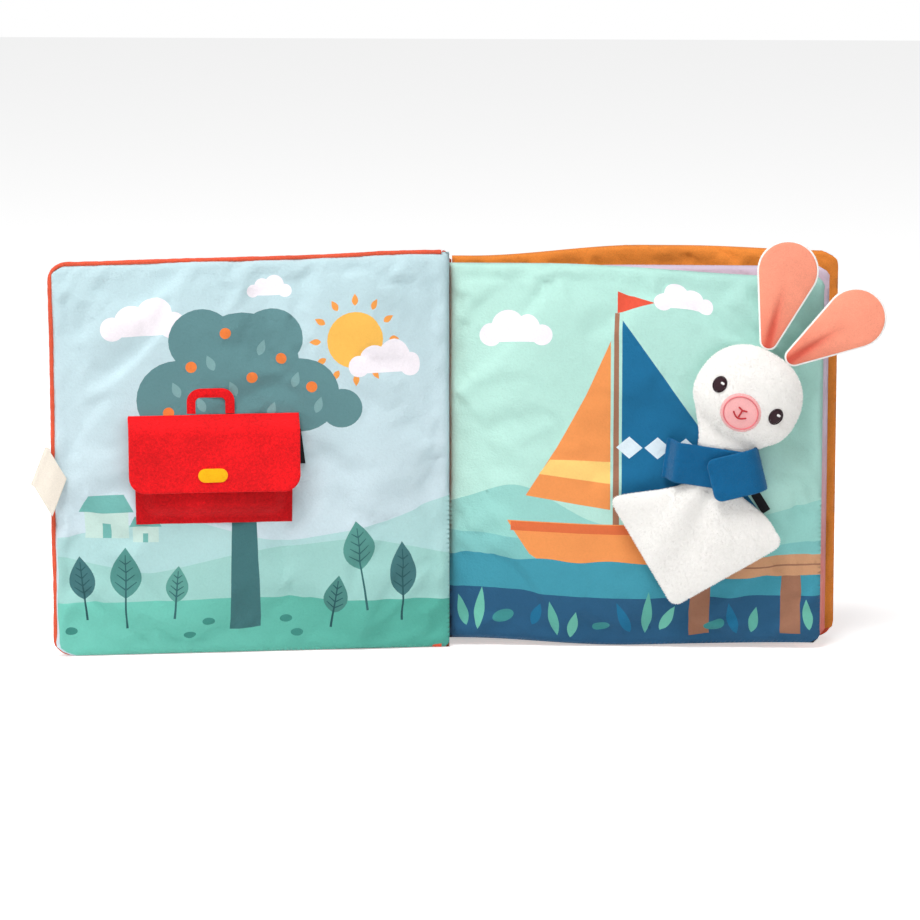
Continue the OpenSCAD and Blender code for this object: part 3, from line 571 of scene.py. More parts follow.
def finish_tree(tree, out, made, material):
    real = step(tree, "GeometryNodeRealizeInstances", ("Geometry", made))
    clad = step(tree, "GeometryNodeSetMaterial", ("Geometry", real.outputs[0]), ("Material", material))
    tree.links.new(clad.outputs[0], out.inputs[0])


def made_by(tree, obj, **sizes):
    """Runs a tree on an object and leaves the result as a plain mesh of the same name."""
    name = obj.name
    modifier = obj.modifiers.new("make", "NODES")
    modifier.node_group = tree
    for item in tree.interface.items_tree:
        if item.item_type == "SOCKET" and item.in_out == "INPUT" and item.name in sizes:
            modifier[item.identifier] = sizes[item.name]
    bpy.context.view_layer.update()
    mesh = bpy.data.meshes.new_from_object(obj.evaluated_get(bpy.context.evaluated_depsgraph_get()))
    bpy.data.objects.remove(obj)
    plain = bpy.data.objects.new(name, mesh)
    scene.collection.objects.link(plain)
    return plain


def run_of_points(name, runs):
    """An object of bare edges along each run of points, in metres."""
    verts, edges = [], []
    for run in runs:
        edges += [(len(verts) + k, len(verts) + k + 1) for k in range(len(run) - 1)]
        verts += [tuple(p) for p in run]
    mesh = bpy.data.meshes.new(name)
    mesh.from_pydata(verts, edges, [])
    obj = bpy.data.objects.new(name, mesh)
    scene.collection.objects.link(obj)
    return obj


piping_tree, given, out = geometry_tree("piping", Radius=PIPING_R / 1000, Pucker=0.12, Cloth=None)
line = step(piping_tree, "GeometryNodeMeshToCurve", ("Mesh", given.outputs["Geometry"]))
fine = step(piping_tree, "GeometryNodeResampleCurve", ("Curve", line.outputs[0]), ("Length", 0.0011), mode="LENGTH")
where = step(piping_tree, "GeometryNodeInputPosition")
ripple = step(piping_tree, "ShaderNodeTexNoise", ("Vector", where.outputs[0]), ("Scale", 260.0), ("Detail", 2.0))
swing = step(piping_tree, "ShaderNodeMath", (0, ripple.outputs["Fac"]), (1, 0.5), operation="SUBTRACT")
depth = step(piping_tree, "ShaderNodeMath", (0, swing.outputs[0]), (1, given.outputs["Pucker"]), operation="MULTIPLY")
share = step(piping_tree, "ShaderNodeMath", (0, depth.outputs[0]), (1, 4.0), (2, 1.0), operation="MULTIPLY_ADD")
thick = step(piping_tree, "ShaderNodeMath", (0, share.outputs[0]), (1, given.outputs["Radius"]), operation="MULTIPLY")
sized = step(piping_tree, "GeometryNodeSetCurveRadius", ("Curve", fine.outputs[0]), ("Radius", thick.outputs[0]))
ring = step(piping_tree, "GeometryNodeCurvePrimitiveCircle", ("Resolution", 12), ("Radius", 1.0))
cord = step(piping_tree, "GeometryNodeCurveToMesh", ("Curve", sized.outputs[0]), ("Profile Curve", ring.outputs[0]),
            ("Fill Caps", True))
if "Scale" in cord.inputs:
    radius = step(piping_tree, "GeometryNodeInputRadius")
    piping_tree.links.new(radius.outputs[0], cord.inputs["Scale"])
finish_tree(piping_tree, out, cord.outputs[0], given.outputs["Cloth"])

piping_cloth = cloth_surface("piping_cloth", linear(222, 88, 60), weave=1300, mottle=0.12, sheen=0.15, crumple=0.6)


def piping_path(outer_edge, head, sag, set_back):
    """Along the foot, up the outer edge and back along the head, with the wander of a soft edge. The cord lies a
    little behind the page's seam, and furthest at the foot."""
    r = 10 - PIPING_R
    outer, corner = outer_edge - PIPING_R, outer_edge - PIPING_R - r
    start = 1.8 + PIPING_R
    top = head - edge_shift(1.0, *sag) - PIPING_R
    run = [(x, PIPING_R) for x in np.linspace(start, corner, 60)]
    run += [(corner + r * math.sin(t), PIPING_R + r - r * math.cos(t)) for t in np.linspace(0.1, math.pi / 2, 8)]
    run += [(outer, z) for z in np.linspace(PIPING_R + r, top - r, 60)[1:]]
    run += [(corner + r * math.cos(t), top - r + r * math.sin(t)) for t in np.linspace(0.1, math.pi / 2 - 0.1, 8)]
    run += [(x, head - edge_shift(x / outer_edge, *sag) - PIPING_R) for x in np.linspace(corner, start, 60)]

    def wander(x, z, seed):
        return 0.5 * noise.noise(Vector((x * 0.03, z * 0.03, seed)))

    def back(x, z):
        """The front cover's cord is furthest back at the foot, the back cover's comes forward at its outer foot."""
        if set_back < 0:
            return set_back * float((1 - 0.9 * ease(z / 14)) * ease((x - 3) / 14))
        return set_back * float(1 - 2.2 * (1 - ease(z / 12)) * ease((x - 150) / 40))

    return [(x + wander(x, z, 3) * min(1, x / 20), wander(x, z, 8) * 0.5 + back(x, z),
             z + max(-0.1, wander(x, z, 5) * 0.6)) for x, z in run]


front_run = piping_path(FRONT_WIDE, FRONT_HIGH, FRONT_SINKS, -2.2)
front_piping = made_by(piping_tree, run_of_points("front_piping_cord", [on_front_cover(front_run)]), Cloth=piping_cloth)
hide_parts("front_piping")
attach(front_piping, "front")

# ---------------------------------------------------------------------------
# Spine: a strip of ridged orange cloth between two rolled seams that the covers
# turn on. It is sewn flat behind the leaves, and its head is piped.
# ---------------------------------------------------------------------------
SPINE_WIDE, SPINE_HIGH, SPINE_DROP, ROLL_R, FREE_CLOTH = 37.7, 217.4, 7.9, 0.6, 5.0


def in_book(points):
    """From the leaves' frame to the book's: X outwards from the gutter and Y back from the first leaf's face."""
    p = np.asarray(points, float)
    return (np.stack([HINGE_X + p[..., 0], p[..., 1] - HINGE_Y, p[..., 2]], -1) / 1000).tolist()


def spine_section():
    """The strip's outline from above, round both rolled seams."""
    ridge = lambda y: 0.45 * (1 - math.cos(2 * math.pi * 5 * (y - FREE_CLOTH) / (SPINE_WIDE - 2 * FREE_CLOTH)))
    back = [(-4 + ridge(y), y) for y in np.linspace(FREE_CLOTH, SPINE_WIDE - FREE_CLOTH, 41)]
    far = [(-0.5, SPINE_WIDE - 2.5)] + [(ROLL_R * math.cos(t), SPINE_WIDE + ROLL_R * math.sin(t))
                                        for t in np.linspace(math.pi * 1.1, -math.pi / 2 + 0.2, 14)]
    near = [(ROLL_R * math.cos(t), 0.7 + ROLL_R * math.sin(t))
            for t in np.linspace(math.pi / 2 - 0.2, -math.pi * 1.1, 14)] + [(-0.5, 3.2)]
    return back + far + [(0, SPINE_WIDE - 4), (0, 4)] + near


section = spine_section()
rows = 90
spine_points = []
for j in range(rows + 1):
    for x, y in section:
        top = SPINE_HIGH - SPINE_DROP * (y + 1.5) / (SPINE_WIDE + 3)
        z = top * j / rows
        stir = noise.noise(Vector((x * 0.2, y * 0.12, z * 0.05)))
        spine_points.append((x + 0.35 * stir * (1 if -3.9 < x < -0.6 else 0.25), y, z))
n = len(section)
faces = [(j * n + i, j * n + (i + 1) % n, (j + 1) * n + (i + 1) % n, (j + 1) * n + i) for j in range(rows)
         for i in range(n)]
faces += [tuple(range(n))[::-1], tuple(rows * n + i for i in range(n))]


def cloth_object(name, points, faces, material, round_off=0.0):
    """A closed mesh with its faces turned outwards."""
    mesh = bpy.data.meshes.new(name)
    mesh.from_pydata(points, [], faces)
    mesh.materials.append(material)
    work = bmesh.new()
    work.from_mesh(mesh)
    bmesh.ops.remove_doubles(work, verts=work.verts, dist=0.000005)
    bmesh.ops.recalc_face_normals(work, faces=work.faces)
    for face in work.faces:
        face.smooth = True
    work.to_mesh(mesh)
    work.free()
    obj = bpy.data.objects.new(name, mesh)
    scene.collection.objects.link(obj)
    if round_off:
        bevel = obj.modifiers.new("round", "BEVEL")
        bevel.width, bevel.segments, bevel.limit_method = round_off, 3, "ANGLE"
        plain = bpy.data.meshes.new_from_object(obj.evaluated_get(bpy.context.evaluated_depsgraph_get()))
        bpy.data.objects.remove(obj)
        obj = bpy.data.objects.new(name, plain)
        scene.collection.objects.link(obj)
    return obj


ridged_cloth = cloth_surface("ridged_orange_cloth", linear(184, 70, 16), weave=1500, mottle=0.12, sheen=0.15,
                             crumple=0.6)
spine_cloth = cloth_object("spine_cloth", in_book(spine_points), faces, ridged_cloth, 0.0005)
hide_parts("spine")
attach(spine_cloth, "block")

slope = SPINE_DROP / (SPINE_WIDE + 3)
spine_run = [(-2, y, 220 - PIPING_R + 0.1 - (y + 1.5) * slope + 0.15 * noise.noise(Vector((y, 0, 0))))
             for y in np.linspace(4.1, SPINE_WIDE - 4.1, 30)]
spine_piping = made_by(piping_tree, run_of_points("spine_piping_cord", [in_book(spine_run)]), Cloth=piping_cloth)
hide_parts("spine_piping")
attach(spine_piping, "block")

# ---------------------------------------------------------------------------
# Leaves: two padded pages of printed polyester, sewn together at the gutter by
# a binding strip. They have no piping; their seams are turned in at the rim.
# ---------------------------------------------------------------------------
LEAF_WIDE, LEAF_HIGH, LEAF_GAP = 204.3, 212.0, 1.0
SECOND_WIDE, SECOND_HIGH, LEAF_BEND = 207.4, 209.6, (0.25, 0.95)
FIRST_Y = HALF_LEAF
SECOND_Y = FIRST_Y + 2 * HALF_LEAF + LEAF_GAP
NAVY, PLANK, PLANK_SHADE = linear(38, 88, 124), linear(206, 154, 116), linear(160, 112, 88)
DEEP_BLUE, BOAT_ORANGE = linear(20, 106, 150), linear(240, 150, 84)
mint = fade((186, 228, 216), (170, 216, 206), 0, 0, 205)
right_print = [(rectangle(0, 0, 230, 230), mint)]
right_print += cloud(38, 168, 15, CLOUD_WHITE) + cloud(128, 190, 12, CLOUD_WHITE)
right_print += [(rolling(LEAF_WIDE, [(0, 78), (40, 92), (80, 70), (130, 66), (205, 84)]), linear(150, 208, 200)),
                (rolling(LEAF_WIDE, [(0, 62), (50, 60), (120, 64), (160, 56), (205, 60)]), linear(126, 192, 190))]
right_print += [(bar(92, 62, 92, 186, 3.4, 2.4), PLANK_SHADE)]
right_print += [([(95, 76), (170, 76), (150, 104), (128, 136), (108, 164), (95, 182)], DEEP_BLUE),
                ([(89, 78), (89, 170), (76, 140), (60, 110), (44, 84)], BOAT_ORANGE),
                ([(89, 92), (89, 104), (57, 104), (51, 96)], linear(250, 206, 120))]
right_print += [([(96 + 15 * k - 4, 112), (96 + 15 * k + 3, 118), (96 + 15 * k + 10, 112), (96 + 15 * k + 3, 106)],
                 linear(222, 236, 244)) for k in range(0, 3)]
right_print += [([(92, 186), (92, 198), (112, 192)], linear(224, 84, 60))]
right_print += [([(34, 70), (172, 70), (158, 50), (150, 44), (58, 44), (46, 52)], BOAT_ORANGE),
                (bar(36, 67, 171, 67, 5), linear(224, 110, 64))]
right_print += [(rolling(LEAF_WIDE, [(0, 48), (18, 51), (36, 47), (54, 51), (72, 47), (90, 51), (108, 47), (126, 51),
                                     (144, 47), (162, 51), (180, 47), (205, 50)]), linear(64, 150, 170)),
                (rolling(LEAF_WIDE, [(0, 30), (205, 28)]), NAVY)]
right_print += [(rectangle(118, 40, 205, 52), PLANK), (bar(118, 46, 205, 46, 1.0), PLANK_SHADE)]
right_print += [(rectangle(x, 6, x + 11, 40), PLANK_SHADE) for x in (132, 182)]
reeds = ((10, 8, 18, -16), (16, 6, 24, 6), (46, 10, 14, 20), (60, 6, 20, -10), (67, 5, 16, 14), (100, 8, 20, -22),
         (108, 7, 26, 4), (116, 8, 18, 26), (158, 6, 20, -14), (166, 6, 16, 12), (198, 8, 18, -6))
for k, (x, z, h, lean) in enumerate(reeds):
    right_print += [(leaf(x, z, 5.5, h, lean),
                     (linear(96, 176, 160), linear(110, 190, 170), linear(26, 110, 150))[k % 3])]
for x, z, size in ((30, 14, 6), (84, 12, 5), (146, 12, 6)):
    right_print += [(oval(x, z, size, size * 0.55, -20), linear(60, 140, 140))]
lavender = fade((226, 128, 118), (212, 194, 212), 1, 30, 120)
under_print = [(rectangle(0, 0, 230, 230), lavender),
               (rolling(LEAF_WIDE, [(0, 60), (70, 84), (140, 64), (205, 80)]), linear(228, 150, 140))]
under_print += [(oval(18 + 24 * i + 12 * (j % 2), 100 + 20 * j, 2.6, 2.6, n=12), linear(240, 232, 244))
                for i in range(8) for j in range(5)]
coral_print = [(rectangle(0, 0, 230, 230), linear(236, 176, 150))]
coral_print += [(bar(-5, z, 235, z + 6, 5), linear(244, 206, 180)) for z in range(10, 230, 20)]
mauve_print = [(rectangle(0, 0, 230, 230), linear(150, 200, 206))]
mauve_print += [(oval(14 + 22 * i + 11 * (j % 2), 14 + 19 * j, 3, 3, n=12), linear(226, 238, 238)) for i in range(9)
                for j in range(11)]

leaf_cloth = cloth_surface("leaf_polyester", "print_and_painted_shade", mottle=0.03)
first_panel = Panel(0.3, LEAF_WIDE, 0, LEAF_HIGH, 3.5, (0, 6.5), (4, 3), HALF_LEAF, LEAF_BEND)
second_panel = Panel(0.3, SECOND_WIDE, 0, SECOND_HIGH, 6.0, (2, 0), (4, 3), HALF_LEAF, LEAF_BEND)


def at_depth(y):
    return lambda points: in_book(np.asarray(points) + np.array([0, y, 0]))


for name, panel, depth, prints, seed in (("first_leaf", first_panel, FIRST_Y, (right_print, coral_print), 2),
                                         ("second_leaf", second_panel, SECOND_Y, (under_print, mauve_print), 3)):
    page = padded_panel(name, panel, wrinkled(panel, seed), prints, at_depth(depth), [leaf_cloth, leaf_cloth])
    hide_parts("pages")
    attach(page, "block")

binding = [(x, y, z) for x in (0.3, 3.3) for z in (4.0, 207.8) for y in (FIRST_Y + 0.4, SECOND_Y - 0.4)]
box_faces = [(0, 1, 3, 2), (4, 6, 7, 5), (0, 2, 6, 4), (1, 5, 7, 3), (0, 4, 5, 1), (2, 3, 7, 6)]
binding_cloth = cloth_surface("binding_cloth", linear(92, 140, 142), weave=1300, mottle=0.1, crumple=0.5)
binding_strip = cloth_object("binding_strip", in_book(binding), box_faces, binding_cloth, 0.0006)
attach(binding_strip, "block")

# ---------------------------------------------------------------------------
# Back cover: orange velour on both sides, the inside printed with pale stars,
# padded and piped as the front cover is. It hangs on the spine's far seam.
# ---------------------------------------------------------------------------
def star(x, z, r, lean):
    corners = [(r if k % 2 == 0 else r * 0.45, math.pi * k / 5 + math.radians(lean)) for k in range(10)]
    return [(x + reach * math.sin(t), z + reach * math.cos(t)) for reach, t in corners]


BURNT_ORANGE, PALE_STAR = linear(194, 76, 14), linear(232, 136, 54)
star_print = [(rectangle(0, 0, 230, 230), BURNT_ORANGE)]
for i in range(12):
    for j in range(12):
        big = (i * 5 + j * 3) % 4
        star_print += [(star(10 + 18.5 * i + 9 * (j % 2), 9 + 18.5 * j, (5.2, 2.2, 3.6, 1.6)[big], 17 * i + 31 * j),
                        PALE_STAR)]
BACK_WIDE, BACK_HIGH, BACK_SINKS = 212.4, 217.9, (6.5, 2.6)
back_panel = Panel(0.9, BACK_WIDE + 0.3, 0.8, BACK_HIGH + 0.4, 9.0, BACK_SINKS, (0, 0), HALF_COVER)
star_cloth = cloth_surface("star_velour", "print_and_painted_shade", weave=1500, mottle=0.1, sheen=0.1, crumple=0.6)
back_pad = padded_panel("back_cover_pad", back_panel, wrinkled(back_panel, 4), [star_print, plain_cloth(BURNT_ORANGE)],
                        at_depth(SPINE_WIDE), [star_cloth, orange_velour])
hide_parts("back_cover", "back_page")
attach(back_pad, "back")
back_run = [(x, y + SPINE_WIDE, z) for x, y, z in piping_path(BACK_WIDE, BACK_HIGH, BACK_SINKS, 1.5)]
back_piping = made_by(piping_tree, run_of_points("back_piping_cord", [in_book(back_run)]), Cloth=piping_cloth)
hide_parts("back_piping")
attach(back_piping, "back")

# ---------------------------------------------------------------------------
# Briefcase: 1.6 mm felt. The pocket is sewn down at its sides and foot, and the
# flap is sewn along its head and falls over the pocket's mouth. The handle and
# the clasp are cut from felt, and a black tape sits in the seam beside them.
# ---------------------------------------------------------------------------
FELT, FIT, PAGE_FACE = 1.6, 0.3, 6.0
CASE_X, CASE_Z, FLAP_W, FLAP_H, FLAP_R = 81.4, 133.2, 92.7, 41.5, 9.0
POCKET_INSET, POCKET_GAP, POCKET_SHOW, FLAP_FOLD = 3.2, 5.4, 18.3, 9.0
POCKET_W, POCKET_X, POCKET_Z = FLAP_W - 2 * POCKET_INSET, CASE_X + POCKET_INSET, CASE_Z - FLAP_H - POCKET_SHOW
POCKET_H = FLAP_H + POCKET_SHOW - FLAP_FOLD - 1
FLAP_BACK = PAGE_FACE + FIT + POCKET_GAP + FELT + 2 * FIT


def crowded(long, cell, rim):
    """Places along a length: close together in the rims at both ends, and about a cell apart between."""
    ends = [0, rim * 0.12, rim * 0.4, rim]
    inner = np.linspace(rim, long - rim, max(2, round((long - 2 * rim) / cell)) + 1)[1:-1]
    return np.array(ends + list(inner) + [long - e for e in ends[::-1]])


def cloth_sheet(name, across, down, middle, thick, place, material, rim=0.8):
    """A closed sheet of cloth with round edges. across and down are its places, and middle gives the points of its
    middle surface for a grid of them."""
    u, v = np.meshgrid(across, down)
    grid = middle(u, v)
    du, dv = np.gradient(grid, axis=1), np.gradient(grid, axis=0)
    out = np.cross(du, dv)
    out /= np.linalg.norm(out, axis=-1, keepdims=True) + 1e-12
    near = np.minimum(np.minimum(u - across[0], across[-1] - u), np.minimum(v - down[0], down[-1] - v))
    half = thick / 2 * np.sqrt(np.clip(1 - (1 - np.clip(near / rim, 0, 1)) ** 2, 0, 1))[..., None]
    rows, cols = u.shape
    points = np.concatenate([(grid + out * half).reshape(-1, 3), (grid - out * half).reshape(-1, 3)])
    faces = []
    for j in range(rows - 1):
        for i in range(cols - 1):
            a = j * cols + i
            b = a + rows * cols
            faces += [(a, a + 1, a + cols + 1, a + cols), (b, b + cols, b + cols + 1, b + 1)]
    return cloth_object(name, place(points), faces, material)


def rounded_end(u, v, wide, long, r):
    """Places across a strip, drawn in where its free end's corners are rounded."""
    d = long - v
    cut = np.where(d < r, r - np.sqrt(np.maximum(0, r * r - (r - d) ** 2)), 0)
    return wide / 2 + (u - wide / 2) * (1 - 2 * cut / wide)


def felt_surface(name, colour, fleck=0.16):
    """Felt is cloth whose matted hairs leave fine darker cracks between small clumps."""
    material = cloth_surface(name, colour, weave=700, weave_depth=0.06, crumple=0.9, mottle=fleck, sheen=0.1,
                             roughness=0.95)
    tree = material.node_tree
    shader = tree.nodes["Principled BSDF"]
    place = add_node(tree, "TexCoord").outputs["Object"]
    bent = add_node(tree, "TexNoise", Vector=place, Scale=300.0, Detail=3.0)
    warp = add_node(tree, "MixRGB", Fac=0.012, Color1=place, Color2=bent.outputs["Color"])
    clumps = add_node(tree, "TexVoronoi", feature="DISTANCE_TO_EDGE", Vector=warp.outputs[0], Scale=520.0)
    crack = add_node(tree, "MapRange", Value=clumps.outputs["Distance"], From_Min=0.0, From_Max=0.22,
                     To_Min=1 - fleck, To_Max=1.0)
    shade = shader.inputs["Base Color"].links[0].from_node
    darker = add_node(tree, "HueSaturation", Color=shade.outputs[0], Value=crack.outputs[0])
    tree.links.new(darker.outputs[0], shader.inputs["Base Color"])
    return material


red_felt = felt_surface("red_felt", linear(238, 18, 26))
# The pocket is cut from a darker red felt than the flap: painted shade for the shadow that the flap casts on it.
pocket_felt_painted_shade = felt_surface("red_felt_painted_shade", linear(206, 10, 20))
yellow_felt = felt_surface("yellow_felt", linear(255, 186, 16), 0.05)


def pocket_middle(u, v):
    r = lambda d: ease((d - 2.5) / 9)
    rise = r(np.minimum(u, POCKET_W - u)) * r(v)
    taper = 1 - 0.02 * (1 - v / POCKET_H)
    sway = 0.5 * np.sin(u * 0.11 + 0.6) * ease(v / POCKET_H)
    y = PAGE_FACE + FIT + FELT / 2 + (POCKET_GAP - FIT) * rise + sway * rise
    return np.stack([POCKET_X + POCKET_W / 2 + (u - POCKET_W / 2) * taper, y, POCKET_Z + v], -1)


pocket = cloth_sheet("briefcase_pocket", crowded(POCKET_W, 1.6, 1.0), crowded(POCKET_H, 1.6, 1.0), pocket_middle, FELT,
                     on_front_cover, pocket_felt_painted_shade)
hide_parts("case_pocket")
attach(pocket, "front")


def flap_middle(u, v):
    """v runs down from the sewn head, over the fold and down to the hem."""
    low, high = PAGE_FACE + FIT + FELT / 2, FLAP_BACK + FELT / 2
    k = np.clip(v / FLAP_FOLD, 0, 1)
    y = low + (high - low) * ease(k)
    x = rounded_end(u, v, FLAP_W, FLAP_H, FLAP_R)
    hem = ease((v - 22) / 22)
    y = y + hem * (1.2 + 0.5 * np.sin(u * 0.075 + 1.0) + 0.25 * np.sin(u * 0.19)) + 0.15 * np.sin(v * 0.2 + u * 0.05)
    return np.stack([CASE_X + x, y, CASE_Z - v], -1)


flap = cloth_sheet("briefcase_flap", crowded(FLAP_W, 1.6, 1.0), crowded(FLAP_H, 1.3, 1.0), flap_middle, FELT,
                   on_front_cover, red_felt)
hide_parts("case_flap")
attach(flap, "front")


def cut_plate(name, outline, thick, face_y, place, material, round_off=0.0004):
    """A flat piece cut from cloth: its outline in X and Z, its front at face_y towards the reader."""
    n = len(outline)
    points = [(x, face_y - side * thick, z) for side in (0, 1) for x, z in outline]
    faces = [tuple(range(n)), tuple(range(2 * n - 1, n - 1, -1))]
    faces += [(i, i + n, (i + 1) % n + n, (i + 1) % n) for i in range(n)]
    return cloth_object(name, place(points), faces, material, round_off)


def arch_half(w, h, r):
    """Right half of an upright arch, from its foot to its crown."""
    return [(w / 2, 0)] + [(w / 2 - r + r * math.cos(t), h - r + r * math.sin(t))
                           for t in np.linspace(0, math.pi / 2, 8)]


handle_out, handle_in = arch_half(26, 13.8, 7), arch_half(16, 8.8, 2.6)
outline = handle_out + [(-x, z) for x, z in handle_out[::-1]] + [(-x, z) for x, z in handle_in] + handle_in[::-1]
mid = CASE_X + FLAP_W / 2 + 1.5
handle = cut_plate("briefcase_handle", [(mid + x, CASE_Z + FIT + z) for x, z in outline], FELT - 0.2,
                   PAGE_FACE + FIT + FELT - 0.2, on_front_cover, red_felt)
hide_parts("case_handle")
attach(handle, "front")

mid, clasp_z = CASE_X + FLAP_W / 2 + 1, CASE_Z - FLAP_H + 9.4
pill = rounded_bar(mid - 8, mid + 8, clasp_z - 3.75, clasp_z + 3.75, 14)
clasp = cut_plate("briefcase_clasp", pill, 1.0, FLAP_BACK + FELT + 1.1, on_front_cover, yellow_felt)
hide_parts("case_clasp")
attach(clasp, "front")

black_tape = cloth_surface("black_tape", linear(24, 24, 28), weave=2200, mottle=0.2, sheen=0.2, crumple=0.3)
outline = [(CASE_X - 3.4, CASE_Z - 28), (POCKET_X - FIT, CASE_Z - 28), (POCKET_X - FIT, CASE_Z - 9),
           (CASE_X - 1, CASE_Z - 9)]
side_tape = cut_plate("briefcase_tape", outline, 0.9, PAGE_FACE + FIT + 0.9, on_front_cover, black_tape, 0.0002)
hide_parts("case_tape")
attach(side_tape, "front")

# ---------------------------------------------------------------------------
# Tag: a loop of cream twill ribbon caught in the front cover's seam. It folds
# over at a slant and runs down across the page's edge to a cut end. It is bare.
# ---------------------------------------------------------------------------
TAG_W, TAG_OUT, TAG_Z, TAG_RUN, TAG_T = 22.0, 9.3, 105.2, 19.0, 1.0
TAG_LEAN, TAG_SLOPE = math.radians(21.5), math.radians(59.5)
over_y = PAGE_FACE - 2.2
tag_fold_r = (over_y - TAG_T) / 2
tag_low = (FRONT_WIDE + TAG_OUT, TAG_Z - TAG_W / 2 * math.cos(TAG_LEAN))
tag_back = TAG_OUT / math.cos(TAG_LEAN)


def tag_middle(u, v):
    """v runs from the seam to the fold, round it and down the front layer."""
    x, z = tag_low[0] - u * math.sin(TAG_LEAN), tag_low[1] + u * math.cos(TAG_LEAN)
    behind = np.clip(1 - v / tag_back, 0, 1) * np.maximum(FIT, x - FRONT_WIDE - FIT) / math.cos(TAG_LEAN)
    turn = np.clip((v - tag_back) / tag_fold_r, 0, math.pi)
    ahead = np.maximum(0, v - tag_back - math.pi * tag_fold_r)
    out = tag_fold_r * np.sin(turn)
    curl = 0.5 * np.sin(u * 0.2 + 0.4) * ease(ahead / 14) + 2.2 * ease(ahead / 11)
    x = x + (out - behind) * math.cos(TAG_LEAN) - ahead * math.cos(TAG_SLOPE)
    z = z + (out - behind) * math.sin(TAG_LEAN) - ahead * math.sin(TAG_SLOPE)
    return np.stack([x, over_y / 2 - tag_fold_r * np.cos(turn) + curl, z], -1)


cream_twill = cloth_surface("cream_twill", linear(238, 228, 214), weave=1600, mottle=0.05, sheen=0.1, crumple=0.4)
tag_long = tag_back + math.pi * tag_fold_r + TAG_RUN
tag = cloth_sheet("tag_ribbon", crowded(TAG_W, 1.2, 0.5), crowded(tag_long, 0.7, 0.5), tag_middle, 0.8, on_front_cover,
                  cream_twill, 0.5)
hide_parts("tag_loop")
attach(tag, "front")

# ---------------------------------------------------------------------------
# Arms: two strips of blue velour sewn to the first leaf. The left one crosses
# the plush's neck, the right one turns round its side and closes over it with
# hook and loop tape. A black tape below ties the plush to the leaf.
# ---------------------------------------------------------------------------
NECK_X, NECK_Z, ARM_W, OVER_W, ARM_T, BLANKET_T = 150.5, 119.0, 22.0, 24.0, 1.8, 7.0
PLUSH_Y = -(FIT + ARM_T + FIT + BLANKET_T / 2 + 1)
ARM_Y = PLUSH_Y - BLANKET_T / 2 - FIT
FASTENER_Y = ARM_Y - ARM_T - 0.1
OVER_Y = FASTENER_Y - 1.5
LEFT_ARM, RIGHT_ARM = 46.0, 29.0


def hairpin(back_long, front_long, gap, thick):
    """Middle line of a strip that runs out, turns back on itself and returns: x along it and y across the fold."""
    r = gap / 2 + thick / 2
    line = [(x, -r) for x in np.linspace(-back_long, 0, 6)[:-1]]
    line += [(r * math.sin(t), -r * math.cos(t)) for t in np.linspace(0, math.pi, 14)]
    line += [(x, r) for x in np.linspace(0, -front_long, 12)[1:]]
    return line


def along_line(line):
    """Smooth points at given distances along a line of 2-D points, and its length."""
    line = np.array(line, float)
    far = np.concatenate([[0], np.cumsum(np.linalg.norm(np.diff(line, axis=0), axis=1))])
    return (lambda s: np.stack([np.interp(s, far, line[:, k]) for k in (0, 1)], -1)), far[-1]


def leaning(points, at, lean):
    """Turned to the right by lean degrees about a point, given as X and Z."""
    c, s = math.cos(math.radians(lean)), math.sin(math.radians(lean))
    p = np.asarray(points, float)
    return np.stack([at[0] + p[..., 0] * c + p[..., 2] * s, p[..., 1], at[1] - p[..., 0] * s + p[..., 2] * c], -1)


def on_leaf(at, lean):
    return lambda points: in_book(leaning(points, at, lean))


blue_velour = cloth_surface("blue_velour", linear(2, 97, 146), weave=1500, mottle=0.12, sheen=0.2, crumple=0.7)
rise = [(0, -FIT - ARM_T / 2), (1.5, -FIT - ARM_T / 2)]
rise += [(1.5 + 6 * k / 10, -FIT - ARM_T / 2 + (ARM_Y + FIT) * float(ease(k / 10)))
         for k in range(1, 11)] + [(LEFT_ARM, ARM_Y - ARM_T / 2)]
arm_line, arm_long = along_line(rise)


def left_arm_middle(u, v):
    p = arm_line(v)
    x_u = rounded_end(u, v, ARM_W, arm_long, 4.0)
    crease = 0.35 * np.sin(u * 0.5 + v * 0.12) * ease(v / 12)
    return np.stack([p[..., 0], p[..., 1] + 0.3 * crease, x_u - ARM_W / 2], -1)


left_arm = cloth_sheet("left_arm_velour", crowded(ARM_W, 1.1, 0.9), crowded(arm_long, 0.9, 0.9), left_arm_middle,
                       ARM_T - 0.2, on_leaf((NECK_X - 32, NECK_Z - 12.2), 8), blue_velour)
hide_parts("left_arm")
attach(left_arm, "block")

fold_gap = -FIT - ARM_T - OVER_Y
fold_r = fold_gap / 2 + ARM_T
over_line, over_long = along_line([(x, -y) for x, y in hairpin(14, RIGHT_ARM - fold_r, fold_gap, ARM_T)])


def right_arm_middle(u, v):
    p = over_line(v)
    across = rounded_end(u, v, OVER_W, over_long, 4.5)
    end = ease((v - over_long + 20) / 20)
    lift = -0.35 * end * np.cos(u * 0.25)
    return np.stack([p[..., 0], p[..., 1] + (OVER_Y - ARM_T - FIT) / 2 + lift, across - OVER_W / 2], -1)


right_arm = cloth_sheet("right_arm_velour", crowded(OVER_W, 1.1, 0.9), crowded(over_long, 0.9, 0.9), right_arm_middle,
                        ARM_T - 0.2, on_leaf((NECK_X + 21.5 - fold_r, NECK_Z - 17.9), -14), blue_velour)
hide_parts("right_arm")
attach(right_arm, "block")

